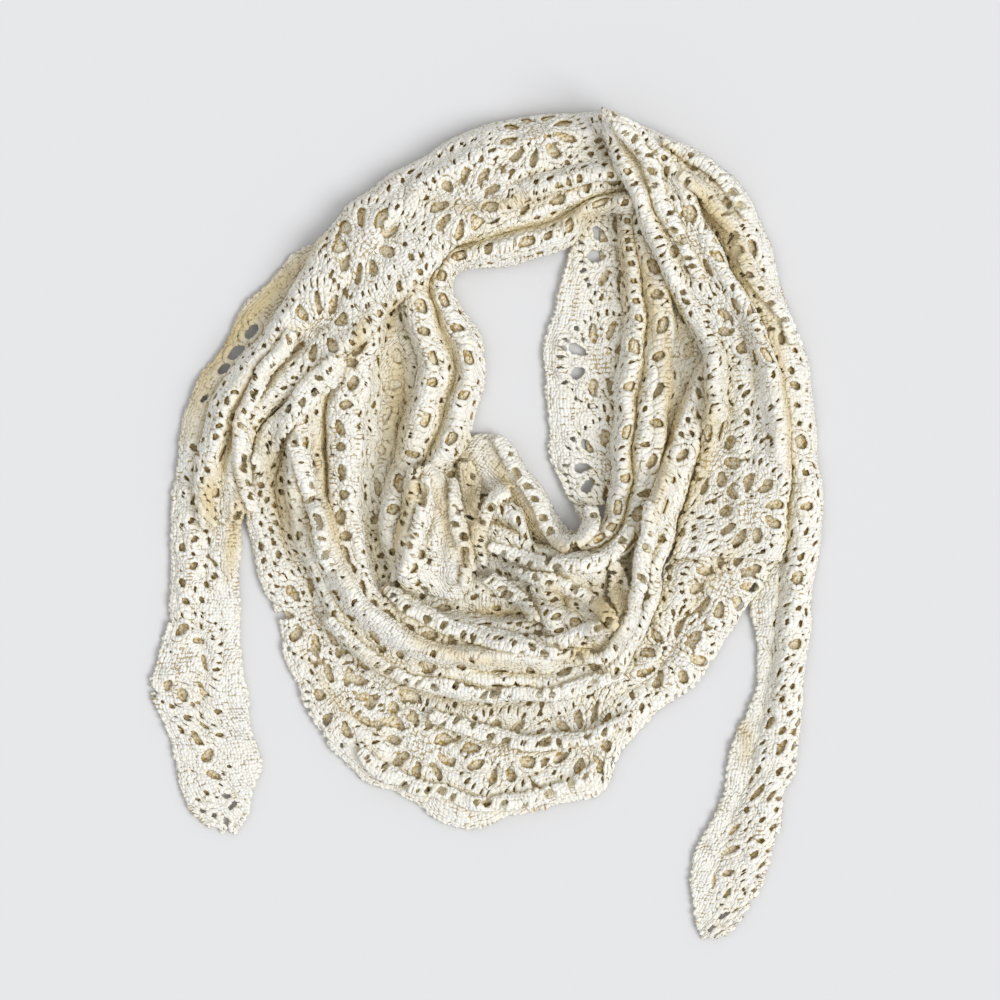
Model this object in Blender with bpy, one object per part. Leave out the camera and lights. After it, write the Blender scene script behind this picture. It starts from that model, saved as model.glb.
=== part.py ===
"""A large triangular lace neckerchief, wound as round a neck and lying on a flat surface.

Every stretch of cloth that shows is a wall with an even thickness, lofted through its own
sections: each section gives the two edges of the stretch seen from above and its heights,
and each fold line runs along the stretch at its own share of the width. The petal gaps of
the lace are cut through. The layers hidden inside the bundle share one solid.
Plan units in the tables count from the left and from the top of the laid-out scarf.
"""
import math
from collections import namedtuple

import bmesh
import bpy
import numpy as np
from mathutils.bvhtree import BVHTree
from mathutils.geometry import delaunay_2d_cdt

# driving sizes, in metres
OVERALL_LENGTH = 0.540
WALL = 0.0018
LEAST_TOP = 0.9 * WALL
SEAM_GAP = 0.0003
LAY_CLEARANCE = 0.0008
CELL_ALONG = 0.0160
CELL_ACROSS = 0.0105
MILLIMETRE = 0.001
SMALL = 1e-7

# the plan of the laid-out scarf, in plan units
PLAN_LENGTH = 829.0
PLAN_CENTRE_X = 486.0
PLAN_CENTRE_Y = 527.5
PLAN_UNIT = OVERALL_LENGTH / PLAN_LENGTH

# the lace motif, in metres
PETAL_INNER_RADIUS = 0.0130
PETAL_OUTER_RADIUS = 0.0275
PETAL_HALF_WIDTH = 0.0038
LOOP_LENGTH = 0.0120
SHORT_LOOP_LENGTH = 0.0086
LOOP_WIDTH = 0.0062
GAP_MARGIN = 0.0022
POINT_MARGIN = 0.0028
HIDING_DEPTH = 0.003
# a petal's outline: share of its length and share of its half width
PETAL_SHAPE = ((0.0, 0.0), (0.30, 0.80), (0.72, 1.0), (1.0, 0.0), (0.72, -1.0), (0.30, -0.80))

# the solids of hidden layers
HIDDEN_CELL = 0.0130
HIDDEN_LEAST_HEIGHT = 0.0038
HIDDEN_MOST_HEIGHT = 0.040
HIDDEN_LEAST_SQUARES = 12
HIDDEN_CLEARANCE = 0.0008
HIDDEN_LEAST_TOP = 0.0008
HIDDEN_RIM_SHARE = 0.72
HIDDEN_RIM_ROUNDS = 4
HIDDEN_PULL = 0.1

# the height map in which the stretches are laid on each other
FIELD_X = 0.52
FIELD_Y = 0.61
RASTER_CELL = 0.003
FINE_ALONG = 22
FINE_ACROSS = 12
LIFT_SPREAD_ROUNDS = 2
LIFT_SOFTEN_ROUNDS = 4
NO_CLOTH = 1.0
FACE_SAMPLES = 8

LIFT_STEP = 0.0004
SETTLE_ROUNDS = 90
SAMPLES_ALONG = 14
SAMPLES_ACROSS = 8
TOPMOST_PULL = 0.02

COLLECTION_NAME = "lace_neckerchief"
HIDDEN_FRONT = "hidden_folds_front"
HIDDEN_BACK = "hidden_folds_back"
YARN_COLOUR = (0.86, 0.82, 0.71, 1.0)
SHADE_COLOUR = (0.70, 0.62, 0.46, 1.0)
YARN_ROUGHNESS = 0.85
YARN_METALLIC = 0.0

Fold = namedtuple("Fold", "name across rise crease", defaults=(0.0,))
Section = namedtuple(
    "Section", "outer_x outer_y inner_x inner_y outer_mm crest_mm inner_mm crease_mm",
    defaults=(0.0,))
Stretch = namedtuple("Stretch", "name folds sections")
Flower = namedtuple("Flower", "stretch plan_x plan_y petals turn squeeze")
LoopRow = namedtuple("LoopRow", "stretch across first last count")

# fold lines of each kind of stretch: share of the width, share of the section's rise and
# share of the depth of the section's crease
FLAT_FOLDS = (
    Fold("outer_edge", 0.00, 0.0),
    Fold("border", 0.22, 0.9),
    Fold("lace", 0.50, 0.7),
    Fold("roll", 0.78, 1.0),
    Fold("inner_edge", 1.00, 0.0),
)
ROLL_FOLDS = (
    Fold("outer_foot", 0.00, 0.0),
    Fold("outer_shoulder", 0.20, 0.93),
    Fold("crown", 0.50, 1.0, 1.0),
    Fold("inner_shoulder", 0.80, 0.93),
    Fold("inner_foot", 1.00, 0.0),
)
RIGHT_OUTER_FOLDS = (
    Fold("outer_edge", 0.00, 0.0),
    Fold("outer_shoulder", 0.14, 0.75),
    Fold("crease", 0.42, 1.0),
    Fold("inner_face", 0.62, 0.5),
    Fold("inner_edge", 1.00, 0.0),
)
DRAPE_FOLDS = (
    Fold("hem", 0.00, 0.0),
    Fold("border", 0.15, 0.60),
    Fold("lower_tier", 0.40, 0.80, 0.35),
    Fold("crease", 0.54, 0.75, 1.0),
    Fold("upper_tier", 0.72, 1.0, 0.35),
    Fold("tucked_edge", 1.00, 0.0),
)
RIM_FOLDS = (
    Fold("foot", 0.00, 0.0),
    Fold("rim", 0.25, 1.0),
    Fold("back", 0.50, 0.45),
    Fold("shelf", 1.00, 0.0),
)
VALLEY_ROLL_FOLDS = (
    Fold("outer_foot", 0.00, 0.0),
    Fold("outer_shoulder", 0.08, 0.93),
    Fold("crown", 0.22, 1.0),
    Fold("inner_shoulder", 0.37, 0.93),
    Fold("valley", 0.50, 0.0),
    Fold("valley_end", 1.00, 0.0),
)
TWIN_ROLL_FOLDS = (
    Fold("outer_foot", 0.00, 0.0),
    Fold("first_roll", 0.16, 0.95),
    Fold("first_crown", 0.34, 1.0),
    Fold("between", 0.54, 0.25),
    Fold("second_roll", 0.74, 0.92),
    Fold("inner_foot", 1.00, 0.0),
)
RIGHT_RIDGE_FOLDS = (
    Fold("shelf_edge", 0.00, 0.0),
    Fold("outer_foot", 0.46, 0.0),
    Fold("first_roll", 0.53, 0.95),
    Fold("first_crown", 0.68, 1.0),
    Fold("between", 0.765, 0.35),
    Fold("second_roll", 0.87, 0.90),
    Fold("inner_foot", 1.00, 0.0),
)
PANEL_FOLDS = (
    Fold("outer_foot", 0.00, 0.0),
    Fold("outer_roll", 0.10, 0.95),
    Fold("face", 0.40, 1.0),
    Fold("inner_face", 0.72, 0.92, 1.0),
    Fold("inner_roll", 0.92, 0.75, 0.7),
    Fold("inner_foot", 1.00, 0.0),
)
ARCH_FOLDS = (
    Fold("turned_edge", 0.00, 0.0),
    Fold("outer_shoulder", 0.05, 0.50),
    Fold("outer_face", 0.25, 0.92),
    Fold("crease", 0.50, 0.95, 1.0),
    Fold("inner_face", 0.74, 1.0),
    Fold("fold_edge", 0.95, 0.82),
    Fold("tuck", 1.00, 0.0),
)

# sections along each stretch: both edges in plan units, heights of the underside in mm
LEFT_TAIL = Stretch("left_tail", FLAT_FOLDS, (
    Section(330, 236, 362, 276, 1, 4, 3),
    Section(291, 257, 334, 297, 0, 4, 3),
    Section(243, 310, 294, 344, 0, 5, 3),
    Section(215, 358, 269, 379, 0, 5, 3),
    Section(185, 410, 242, 413, 0, 6, 3),
    Section(179, 460, 242, 459, 0, 6, 2),
    Section(170, 520, 244, 522, 0, 5, 0),
    Section(171, 580, 239, 585, 0, 5, 0),
    Section(161, 640, 243, 637, 0, 3, 0),
    Section(149, 688, 248, 690, 0, 2, 0),
    Section(170, 742, 254, 738, 0, 2, 0),
    Section(180, 790, 261, 773, 0, 2, 0),
    Section(203, 821, 246, 817, 0, 1, 0),
    Section(217, 834, 238, 835, 0, 0, 0),
))
RIGHT_TAIL = Stretch("right_outer_and_tail", RIGHT_OUTER_FOLDS, (
    Section(602, 116, 622, 150, 6, 15, 6),
    Section(664, 138, 640, 178, 1, 20, 6),
    Section(734, 180, 668, 216, 0, 22, 5),
    Section(768, 245, 690, 256, 0, 22, 4),
    Section(784, 302, 715, 311, 0, 21, 3),
    Section(804, 362, 740, 366, 0, 19, 2),
    Section(814, 430, 755, 430, 0, 17, 2),
    Section(820, 512, 765, 512, 0, 13, 1),
    Section(811, 600, 752, 602, 0, 11, 0),
    Section(803, 680, 756, 682, 0, 9, 0),
    Section(797, 745, 729, 750, 0, 6, 0),
    Section(783, 803, 717, 806, 0, 4, 0),
    Section(769, 866, 689, 864, 0, 2, 0),
    Section(745, 916, 693, 915, 0, 1, 0),
    Section(721, 940, 702, 942, 0, 0, 0),
))
INNER_PANEL = Stretch("inner_panel", FLAT_FOLDS, (
    Section(582, 200, 642, 206, 0, 2, 3),
    Section(571, 238, 648, 245, 0, 2, 3),
    Section(558, 285, 652, 285, 0, 2, 3),
    Section(551, 322, 654, 322, 0, 2, 3),
    Section(541, 354, 654, 354, 0, 2, 3),
    Section(547, 402, 654, 400, 0, 2, 3),
    Section(547, 452, 650, 448, 0, 2, 3),
    Section(558, 484, 642, 478, 1, 4, 3),
    Section(578, 506, 632, 504, 1, 5, 3),
))
INNER_RIM = Stretch("inner_rim", RIM_FOLDS, (
    Section(574, 502, 618, 526, 0, 6, 2),
    Section(583, 520, 618, 560, 0, 11, 2),
    Section(577, 532, 590, 585, 0, 13, 2),
    Section(565, 526, 545, 585, 0, 14, 2),
    Section(556, 512, 512, 566, 0, 14, 2),
    Section(547, 500, 492, 545, 0, 14, 2),
    Section(535, 480, 480, 524, 0, 12, 2),
    Section(519, 457, 466, 510, 0, 10, 2),
    Section(500, 440, 452, 500, 0, 8, 2),
    Section(479, 434, 440, 488, 0, 6, 2),
    Section(460, 436, 430, 470, 0, 4, 2),
))
DRAPE = Stretch("front_drape", DRAPE_FOLDS, (
    Section(266, 425, 318, 385, 4, 15, 6, 5),
    Section(256, 456, 304, 448, 3, 13, 4, 9),
    Section(247, 505, 302, 498, 0, 10, 3, 8),
    Section(256, 562, 320, 546, 0, 6, 3, 4),
    Section(277, 622, 352, 590, 0, 4, 5, 2),
    Section(300, 698, 384, 630, 0, 4, 7, 2),
    Section(336, 757, 412, 650, 0, 6, 8, 2),
    Section(398, 795, 440, 660, 0, 7, 9, 3),
    Section(421, 805, 452, 663, 0, 7, 10, 3),
    Section(440, 823, 463, 665, 0, 7, 10, 4),
    Section(478, 828, 482, 667, 0, 8, 10, 4),
    Section(532, 812, 514, 670, 0, 8, 10, 4),
    Section(600, 792, 556, 672, 0, 8, 9, 4),
    Section(636, 730, 602, 668, 0, 8, 7, 3),
    Section(695, 684, 632, 648, 0, 10, 4, 2),
    Section(731, 630, 650, 602, 0, 12, 3, 1),
    Section(757, 592, 666, 562, 1, 13, 3, 1),
    Section(783, 553, 682, 534, 2, 11, 3, 0),
))
SECOND_SWAG = Stretch("left_ridge_and_second_swag", VALLEY_ROLL_FOLDS, (
    Section(348, 306, 414, 286, 12, 17, 8),
    Section(350, 336, 416, 330, 9, 20, 2),
    Section(335, 372, 420, 372, 4, 21, 2),
    Section(328, 420, 411, 420, 3, 21, 2),
    Section(331, 470, 400, 470, 3, 21, 3),
    Section(331, 520, 396, 520, 3, 21, 4),
    Section(337, 568, 400, 540, 4, 21, 5),
    Section(360, 612, 406, 560, 6, 22, 6),
    Section(404, 642, 424, 570, 8, 23, 6),
    Section(458, 655, 466, 570, 9, 23, 6),
    Section(512, 656, 510, 580, 9, 23, 4),
    Section(556, 645, 546, 570, 8, 22, 4),
    Section(604, 627, 576, 566, 6, 20, 4),
))
THIRD_SWAG = Stretch("third_swag", ROLL_FOLDS, (
    Section(298, 402, 330, 384, 5, 13, 5),
    Section(292, 442, 323, 439, 3, 15, 3),
    Section(289, 482, 326, 479, 2, 15, 3),
    Section(294, 523, 331, 512, 2, 14, 3),
    Section(308, 566, 342, 545, 3, 13, 4),
    Section(330, 610, 358, 585, 4, 15, 6),
    Section(362, 650, 385, 614, 6, 17, 8),
    Section(404, 673, 417, 635, 7, 19, 9),
    Section(458, 684, 461, 645, 8, 20, 10),
    Section(515, 687, 512, 645, 8, 20, 9),
    Section(569, 693, 563, 650, 7, 19, 6),
    Section(614, 678, 590, 636, 5, 18, 4),
    Section(637, 645, 610, 614, 3, 18, 3),
    Section(653, 609, 626, 596, 3, 18, 3),
    Section(662, 565, 634, 556, 3, 19, 3),
    Section(675, 520, 648, 505, 3, 18, 3),
    Section(689, 479, 660, 466, 3, 17, 2),
    Section(704, 432, 676, 420, 3, 14, 2),
    Section(718, 393, 693, 377, 3, 11, 2),
    Section(738, 352, 716, 338, 3, 9, 2),
))
NECK_LOOP = Stretch("neck_loop", TWIN_ROLL_FOLDS, (
    Section(632, 172, 630, 214, 10, 19, 4),
    Section(600, 174, 596, 216, 10, 22, 4),
    Section(562, 182, 566, 246, 10, 22, 4),
    Section(520, 198, 520, 261, 10, 21, 2),
    Section(476, 212, 480, 268, 10, 20, 2),
    Section(436, 236, 455, 273, 9, 19, 2),
    Section(404, 280, 452, 292, 8, 18, 1),
    Section(405, 318, 464, 316, 5, 18, 1),
    Section(417, 352, 484, 350, 3, 18, 1),
    Section(416, 388, 482, 386, 3, 18, 1),
    Section(402, 430, 468, 436, 3, 18, 2),
    Section(392, 472, 444, 476, 3, 18, 3),
    Section(382, 512, 434, 512, 4, 19, 4),
    Section(386, 548, 424, 536, 5, 18, 5),
    Section(392, 580, 418, 566, 6, 14, 6),
))
RIGHT_RIDGES = Stretch("right_ridges_and_first_swag", RIGHT_RIDGE_FOLDS, (
    Section(672, 206, 616, 206, 6, 17, 3),
    Section(684, 244, 620, 242, 3, 17, 3),
    Section(706, 290, 624, 290, 2, 17, 2),
    Section(716, 335, 624, 335, 2, 18, 2),
    Section(718, 385, 616, 385, 2, 19, 2),
    Section(708, 440, 612, 440, 2, 20, 2),
    Section(694, 492, 611, 490, 2, 20, 2),
    Section(680, 534, 606, 518, 2, 20, 2),
    Section(656, 572, 594, 532, 2, 19, 4),
    Section(612, 590, 570, 543, 3, 19, 5),
    Section(552, 596, 530, 541, 4, 19, 5),
    Section(512, 598, 518, 508, 5, 20, 4),
    Section(486, 598, 488, 496, 6, 20, 4),
    Section(474, 590, 476, 506, 6, 14, 4),
))
CENTRE_FLAP = Stretch("centre_flap", ROLL_FOLDS, (
    Section(412, 466, 432, 462, 8, 16, 10),
    Section(406, 490, 446, 484, 8, 21, 8),
    Section(402, 520, 464, 512, 8, 24, 5),
    Section(398, 550, 469, 542, 8, 25, 5),
    Section(398, 576, 471, 572, 8, 23, 6),
    Section(408, 592, 460, 600, 8, 13, 8),
))
CRUMPLE = Stretch("crumpled_fold", ROLL_FOLDS, (
    Section(530, 575, 556, 552, 8, 14, 8),
    Section(534, 600, 590, 556, 8, 22, 6, 3),
    Section(545, 626, 612, 590, 8, 24, 6, 6),
    Section(566, 644, 616, 616, 8, 21, 6, 3),
    Section(590, 644, 606, 634, 8, 13, 7),
))
ARCH = Stretch("arch", ARCH_FOLDS, (
    Section(624, 119, 640, 182, 2, 16, 10, 4),
    Section(597, 117, 604, 182, 0, 23, 14, 2),
    Section(547, 118, 556, 193, 0, 26, 16),
    Section(484, 129, 512, 211, 0, 28, 18),
    Section(424, 158, 462, 242, 0, 28, 18, 2),
    Section(367, 194, 418, 286, 0, 28, 18, 3),
    Section(323, 238, 384, 318, 1, 28, 18, 3),
    Section(296, 290, 356, 350, 3, 26, 16, 5),
    Section(262, 340, 314, 384, 3, 23, 12, 8),
    Section(218, 396, 272, 410, 4, 18, 7, 11),
    Section(203, 448, 250, 454, 3, 14, 4, 9),
    Section(196, 500, 245, 500, 3, 11, 3, 4),
    Section(204, 532, 240, 522, 3, 6, 3),
))
PANEL = Stretch("crossing_panel", PANEL_FOLDS, (
    Section(600, 115, 604, 138, 6, 24, 10),
    Section(640, 136, 612, 160, 9, 31, 12),
    Section(684, 190, 636, 214, 8, 31, 10, 2),
    Section(710, 240, 653, 256, 7, 29, 6, 2),
    Section(736, 290, 677, 304, 6, 26, 5, 1),
    Section(763, 338, 700, 350, 6, 23, 4, 1),
    Section(780, 390, 706, 400, 5, 21, 3, 4),
    Section(786, 440, 700, 446, 5, 19, 3, 6),
    Section(786, 492, 688, 496, 5, 17, 3, 6),
    Section(785, 533, 678, 532, 4, 15, 3, 4),
    Section(780, 558, 672, 556, 4, 7, 3, 0),
))

# from the lowest stretch to the topmost one
LAYING_ORDER = (
    LEFT_TAIL, RIGHT_TAIL, INNER_PANEL, INNER_RIM, DRAPE, RIGHT_RIDGES, SECOND_SWAG,
    THIRD_SWAG, NECK_LOOP, CENTRE_FLAP, CRUMPLE, ARCH, PANEL,
)

# flower motifs: middle in plan units, number of petals, turn in degrees, share of full width
FLOWERS = (
    Flower("inner_panel", 620, 253, 8, 10, 0.85),
    Flower("inner_panel", 601, 360, 8, 25, 0.85),
    Flower("inner_panel", 607, 467, 8, 0, 0.85),
    Flower("crossing_panel", 692, 246, 9, 0, 0.85),
    Flower("crossing_panel", 746, 334, 9, 20, 0.85),
    Flower("crossing_panel", 711, 457, 9, 0, 0.80),
    Flower("crossing_panel", 765, 430, 9, 0, 0.80),
    Flower("crossing_panel", 748, 510, 9, 15, 0.85),
    Flower("front_drape", 722, 583, 9, 0, 0.85),
    Flower("front_drape", 672, 655, 8, 15, 0.85),
    Flower("front_drape", 584, 742, 9, 0, 0.85),
    Flower("front_drape", 500, 750, 9, 10, 0.90),
    Flower("front_drape", 420, 746, 9, 0, 0.90),
    Flower("front_drape", 385, 680, 8, 0, 0.90),
    Flower("front_drape", 312, 615, 8, 20, 0.85),
    Flower("front_drape", 330, 700, 7, 15, 0.90),
    Flower("arch", 536, 138, 9, 0, 0.85),
    Flower("arch", 466, 205, 9, 10, 0.85),
    Flower("arch", 366, 246, 9, 0, 0.90),
    Flower("arch", 322, 330, 8, 0, 0.85),
    Flower("left_tail", 183, 655, 9, 0, 0.75),
    Flower("left_tail", 214, 770, 7, 0, 0.85),
    Flower("right_outer_and_tail", 727, 850, 8, 0, 0.85),
    Flower("right_outer_and_tail", 768, 750, 8, 0, 0.75),
)
# rows of single gaps: share of the width, first and last section, number of gaps
LOOP_ROWS = (
    LoopRow("left_ridge_and_second_swag", 0.21, 1.4, 11.5, 24),
    LoopRow("third_swag", 0.50, 1.0, 16.4, 25),
    LoopRow("neck_loop", 0.28, 0.6, 12.0, 16),
    LoopRow("neck_loop", 0.74, 1.0, 11.0, 12),
    LoopRow("right_ridges_and_first_swag", 0.60, 1.5, 10.0, 14),
    LoopRow("right_ridges_and_first_swag", 0.86, 3.2, 9.0, 8),
    LoopRow("right_ridges_and_first_swag", 0.24, 2.0, 6.0, 7),
    LoopRow("left_ridge_and_second_swag", 0.74, 1.6, 5.0, 6),
    LoopRow("right_outer_and_tail", 0.30, 1.5, 8.5, 10),
    LoopRow("arch", 0.40, 8.6, 10.8, 4),
    LoopRow("inner_rim", 0.75, 4.0, 8.0, 4),
    LoopRow("centre_flap", 0.30, 1.0, 3.2, 2),
    LoopRow("crumpled_fold", 0.35, 0.6, 2.4, 2),
)


def clear_scene():
    """Start from an empty scene."""
    for item in list(bpy.data.objects):
        bpy.data.objects.remove(item, do_unlink=True)


def make_collection(name):
    """A collection in the scene for the scarf's pieces."""
    collection = bpy.data.collections.new(name)
    bpy.context.scene.collection.children.link(collection)
    return collection


def make_material(name, colour):
    """Matt cotton yarn of one colour."""
    material = bpy.data.materials.new(name)
    material.use_nodes = True
    shader = material.node_tree.nodes["Principled BSDF"]
    shader.inputs["Base Color"].default_value = colour
    shader.inputs["Roughness"].default_value = YARN_ROUGHNESS
    shader.inputs["Metallic"].default_value = YARN_METALLIC
    material.diffuse_color = colour
    return material


def plan_to_metres(x, y):
    """A point of the plan in metres from the scarf's middle."""
    return (x - PLAN_CENTRE_X) * PLAN_UNIT, (PLAN_CENTRE_Y - y) * PLAN_UNIT


def spline_weights(before, start, end, after, share):
    """A centripetal spline through start and end, at a share of the way between them."""
    def knot_step(first, second):
        return np.maximum(np.linalg.norm(second - first, axis=-1), SMALL) ** 0.5

    knot_1 = knot_step(before, start)
    knot_2 = knot_1 + knot_step(start, end)
    knot_3 = knot_2 + knot_step(end, after)
    at = knot_1 + share * (knot_2 - knot_1)

    def blend(first, second, low, high):
        weight = ((at - low) / (high - low))[..., None]
        return first * (1.0 - weight) + second * weight

    zero = np.zeros_like(knot_1)
    a_1 = blend(before, start, zero, knot_1)
    a_2 = blend(start, end, knot_1, knot_2)
    a_3 = blend(end, after, knot_2, knot_3)
    b_1 = blend(a_1, a_2, zero, knot_2)
    b_2 = blend(a_2, a_3, knot_1, knot_3)
    return blend(b_1, b_2, knot_1, knot_2)


def spline_along(points, places):
    """Points on the spline through an array's first axis, at fractional places."""
    last = len(points) - 1
    index = np.clip(np.floor(places).astype(int), 0, last - 1)
    share = places - index
    padded = np.concatenate([
        2.0 * points[:1] - points[1:2], points, 2.0 * points[-1:] - points[-2:-1]])
    corners = [padded[index + step] for step in range(4)]
    if points.ndim == 3:
        share = np.repeat(share[:, None], points.shape[1], axis=1)
    return spline_weights(*corners, share)


def section_net(stretch):
    """The stretch's fold points: sections by folds by x, y and height."""
    rows = []
    for section in stretch.sections:
        outer = plan_to_metres(section.outer_x, section.outer_y)
        inner = plan_to_metres(section.inner_x, section.inner_y)
        points = []
        for fold in stretch.folds:
            base = section.outer_mm + (section.inner_mm - section.outer_mm) * fold.across
            height = base + (max(section.crest_mm, base) - base) * fold.rise
            height = max(height - section.crease_mm * fold.crease, 0.0)
            points.append((
                outer[0] + (inner[0] - outer[0]) * fold.across,
                outer[1] + (inner[1] - outer[1]) * fold.across,
                height * MILLIMETRE,
            ))
        rows.append(points)
    return np.array(rows)


class Sheet:
    """One stretch of cloth as a smooth surface, with lengths measured on it."""

    def __init__(self, stretch):
        self.name = stretch.name
        self.stretch = stretch
        self.net = section_net(stretch)
        self.section_count, self.fold_count = self.net.shape[:2]
        self.lift = None
        self.dense_t = np.linspace(
            0.0, self.section_count - 1, (self.section_count - 1) * SAMPLES_ALONG + 1)
        self.dense_v = np.linspace(
            0.0, self.fold_count - 1, (self.fold_count - 1) * SAMPLES_ACROSS + 1)
        grid_t, grid_v = np.meshgrid(self.dense_t, self.dense_v, indexing="ij")
        self.dense = self.surface(grid_t.ravel(), grid_v.ravel()).reshape(*grid_t.shape, 3)
        along = np.linalg.norm(np.diff(self.dense, axis=0), axis=2)
        across = np.linalg.norm(np.diff(self.dense, axis=1), axis=2)
        self.along = np.vstack([np.zeros((1, along.shape[1])), np.cumsum(along, axis=0)])
        self.across = np.hstack([np.zeros((across.shape[0], 1)), np.cumsum(across, axis=1)])
        self.mean_along = self.along.mean(axis=1)
        self.mean_across = self.across.mean(axis=0)

    def surface(self, places_t, places_v):
        """Points of the underside at places along and across the stretch."""
        folds = spline_along(self.net, places_t)
        last = self.fold_count - 1
        index = np.clip(np.floor(places_v).astype(int), 0, last - 1)
        share = places_v - index
        start_pad = 2.0 * folds[:, :1] - folds[:, 1:2]
        end_pad = 2.0 * folds[:, -1:] - folds[:, -2:-1]
        padded = np.concatenate([start_pad, folds, end_pad], axis=1)
        row = np.arange(len(index))
        corners = [padded[row, index + step] for step in range(4)]
        points = spline_weights(*corners, share)
        points[:, 2] = np.maximum(points[:, 2], 0.0)
        if self.lift is not None:
            points[:, 2] += self.lift.read(points[:, 0], points[:, 1])
        return points

    def nearest(self, x, y):
        """The place on the topmost part of the surface over a plan point."""
        apart = np.hypot(self.dense[:, :, 0] - x, self.dense[:, :, 1] - y)
        rated = apart - TOPMOST_PULL * self.dense[:, :, 2]
        return np.unravel_index(np.argmin(rated), apart.shape)

    def chart(self, row, column, ahead, aside):
        """Places on the surface a measured way ahead of and beside one of its points."""
        along = self.along[:, column] - self.along[row, column]
        places_t = np.interp(ahead, along, self.dense_t)
        rows = np.clip(np.round(places_t * SAMPLES_ALONG).astype(int), 0, len(self.dense_t) - 1)
        places_v = np.empty_like(places_t)
        for order, (at, way) in enumerate(zip(rows, aside)):
            across = self.across[at] - self.across[at, column]
            places_v[order] = np.interp(way, across, self.dense_v)
        inside = (ahead > along[0]) & (ahead < along[-1])
        reach = self.across[rows] - self.across[rows, column][:, None]
        inside &= (aside > reach[:, 0]) & (aside < reach[:, -1])
        return places_t, places_v, bool(inside.all())


class Raster:
    """A height for each small square of the plan."""

    def __init__(self, fill):
        self.origin = (-0.5 * FIELD_X, -0.5 * FIELD_Y)
        self.shape = (int(FIELD_X / RASTER_CELL), int(FIELD_Y / RASTER_CELL))
        self.values = np.full(self.shape, fill)

    def cells(self, x, y):
        """The squares that hold the plan points."""
        column = np.clip(((x - self.origin[0]) / RASTER_CELL).astype(int), 0, self.shape[0] - 1)
        row = np.clip(((y - self.origin[1]) / RASTER_CELL).astype(int), 0, self.shape[1] - 1)
        return column, row

    def read(self, x, y):
        """Heights between the squares' middles, blended."""
        place_x = (x - self.origin[0]) / RASTER_CELL - 0.5
        place_y = (y - self.origin[1]) / RASTER_CELL - 0.5
        column = np.clip(np.floor(place_x).astype(int), 0, self.shape[0] - 2)
        row = np.clip(np.floor(place_y).astype(int), 0, self.shape[1] - 2)
        share_x = np.clip(place_x - column, 0.0, 1.0)
        share_y = np.clip(place_y - row, 0.0, 1.0)
        values = self.values
        near = values[column, row] * (1 - share_y) + values[column, row + 1] * share_y
        far = values[column + 1, row] * (1 - share_y) + values[column + 1, row + 1] * share_y
        return near * (1 - share_x) + far * share_x

    def spread(self, rounds, pick):
        """Let each square take the picked one of its own and its neighbours' heights."""
        for _ in range(rounds):
            grown = self.values.copy()
            for axis in (0, 1):
                for step in (-1, 1):
                    grown = pick(grown, np.roll(self.values, step, axis=axis))
            self.values = grown

    def soften(self, rounds):
        """Even out the heights of neighbouring squares."""
        for _ in range(rounds):
            total = self.values * 4.0
            for axis in (0, 1):
                for step in (-1, 1):
                    total = total + np.roll(self.values, step, axis=axis)
            self.values = total / 8.0


def fine_samples(sheet):
    """Points close enough together to touch every square of the raster they cross."""
    last_t = sheet.section_count - 1
    last_v = sheet.fold_count - 1
    step_t = np.linspace(0, last_t, last_t * FINE_ALONG + 1)
    step_v = np.linspace(0, last_v, last_v * FINE_ACROSS + 1)
    grid_t, grid_v = np.meshgrid(step_t, step_v, indexing="ij")
    return sheet.surface(grid_t.ravel(), grid_v.ravel())


def lay_sheets(sheets):
    """Raise each stretch just clear of those already lying below it."""
    top = Raster(-WALL)
    for sheet in sheets:
        points = fine_samples(sheet)
        need = Raster(0.0)
        column, row = need.cells(points[:, 0], points[:, 1])
        short = top.values[column, row] + WALL + LAY_CLEARANCE - points[:, 2]
        short = np.where(top.values[column, row] > -WALL, short, 0.0)
        np.maximum.at(need.values, (column, row), short)
        need.spread(LIFT_SPREAD_ROUNDS, np.maximum)
        need.soften(LIFT_SOFTEN_ROUNDS)
        sheet.lift = need
        points = fine_samples(sheet)
        column, row = top.cells(points[:, 0], points[:, 1])
        np.maximum.at(top.values, (column, row), points[:, 2])
    return top


def petal_outline(length_from, length_to, half_width, turn, squeeze):
    """A petal-shaped gap pointing away from the flower's middle."""
    ahead = []
    aside = []
    for share, width in PETAL_SHAPE:
        reach = length_from + (length_to - length_from) * share
        side = half_width * width
        ahead.append(reach * math.cos(turn) - side * math.sin(turn))
        aside.append((reach * math.sin(turn) + side * math.cos(turn)) * squeeze)
    return np.array(ahead), np.array(aside)


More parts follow.
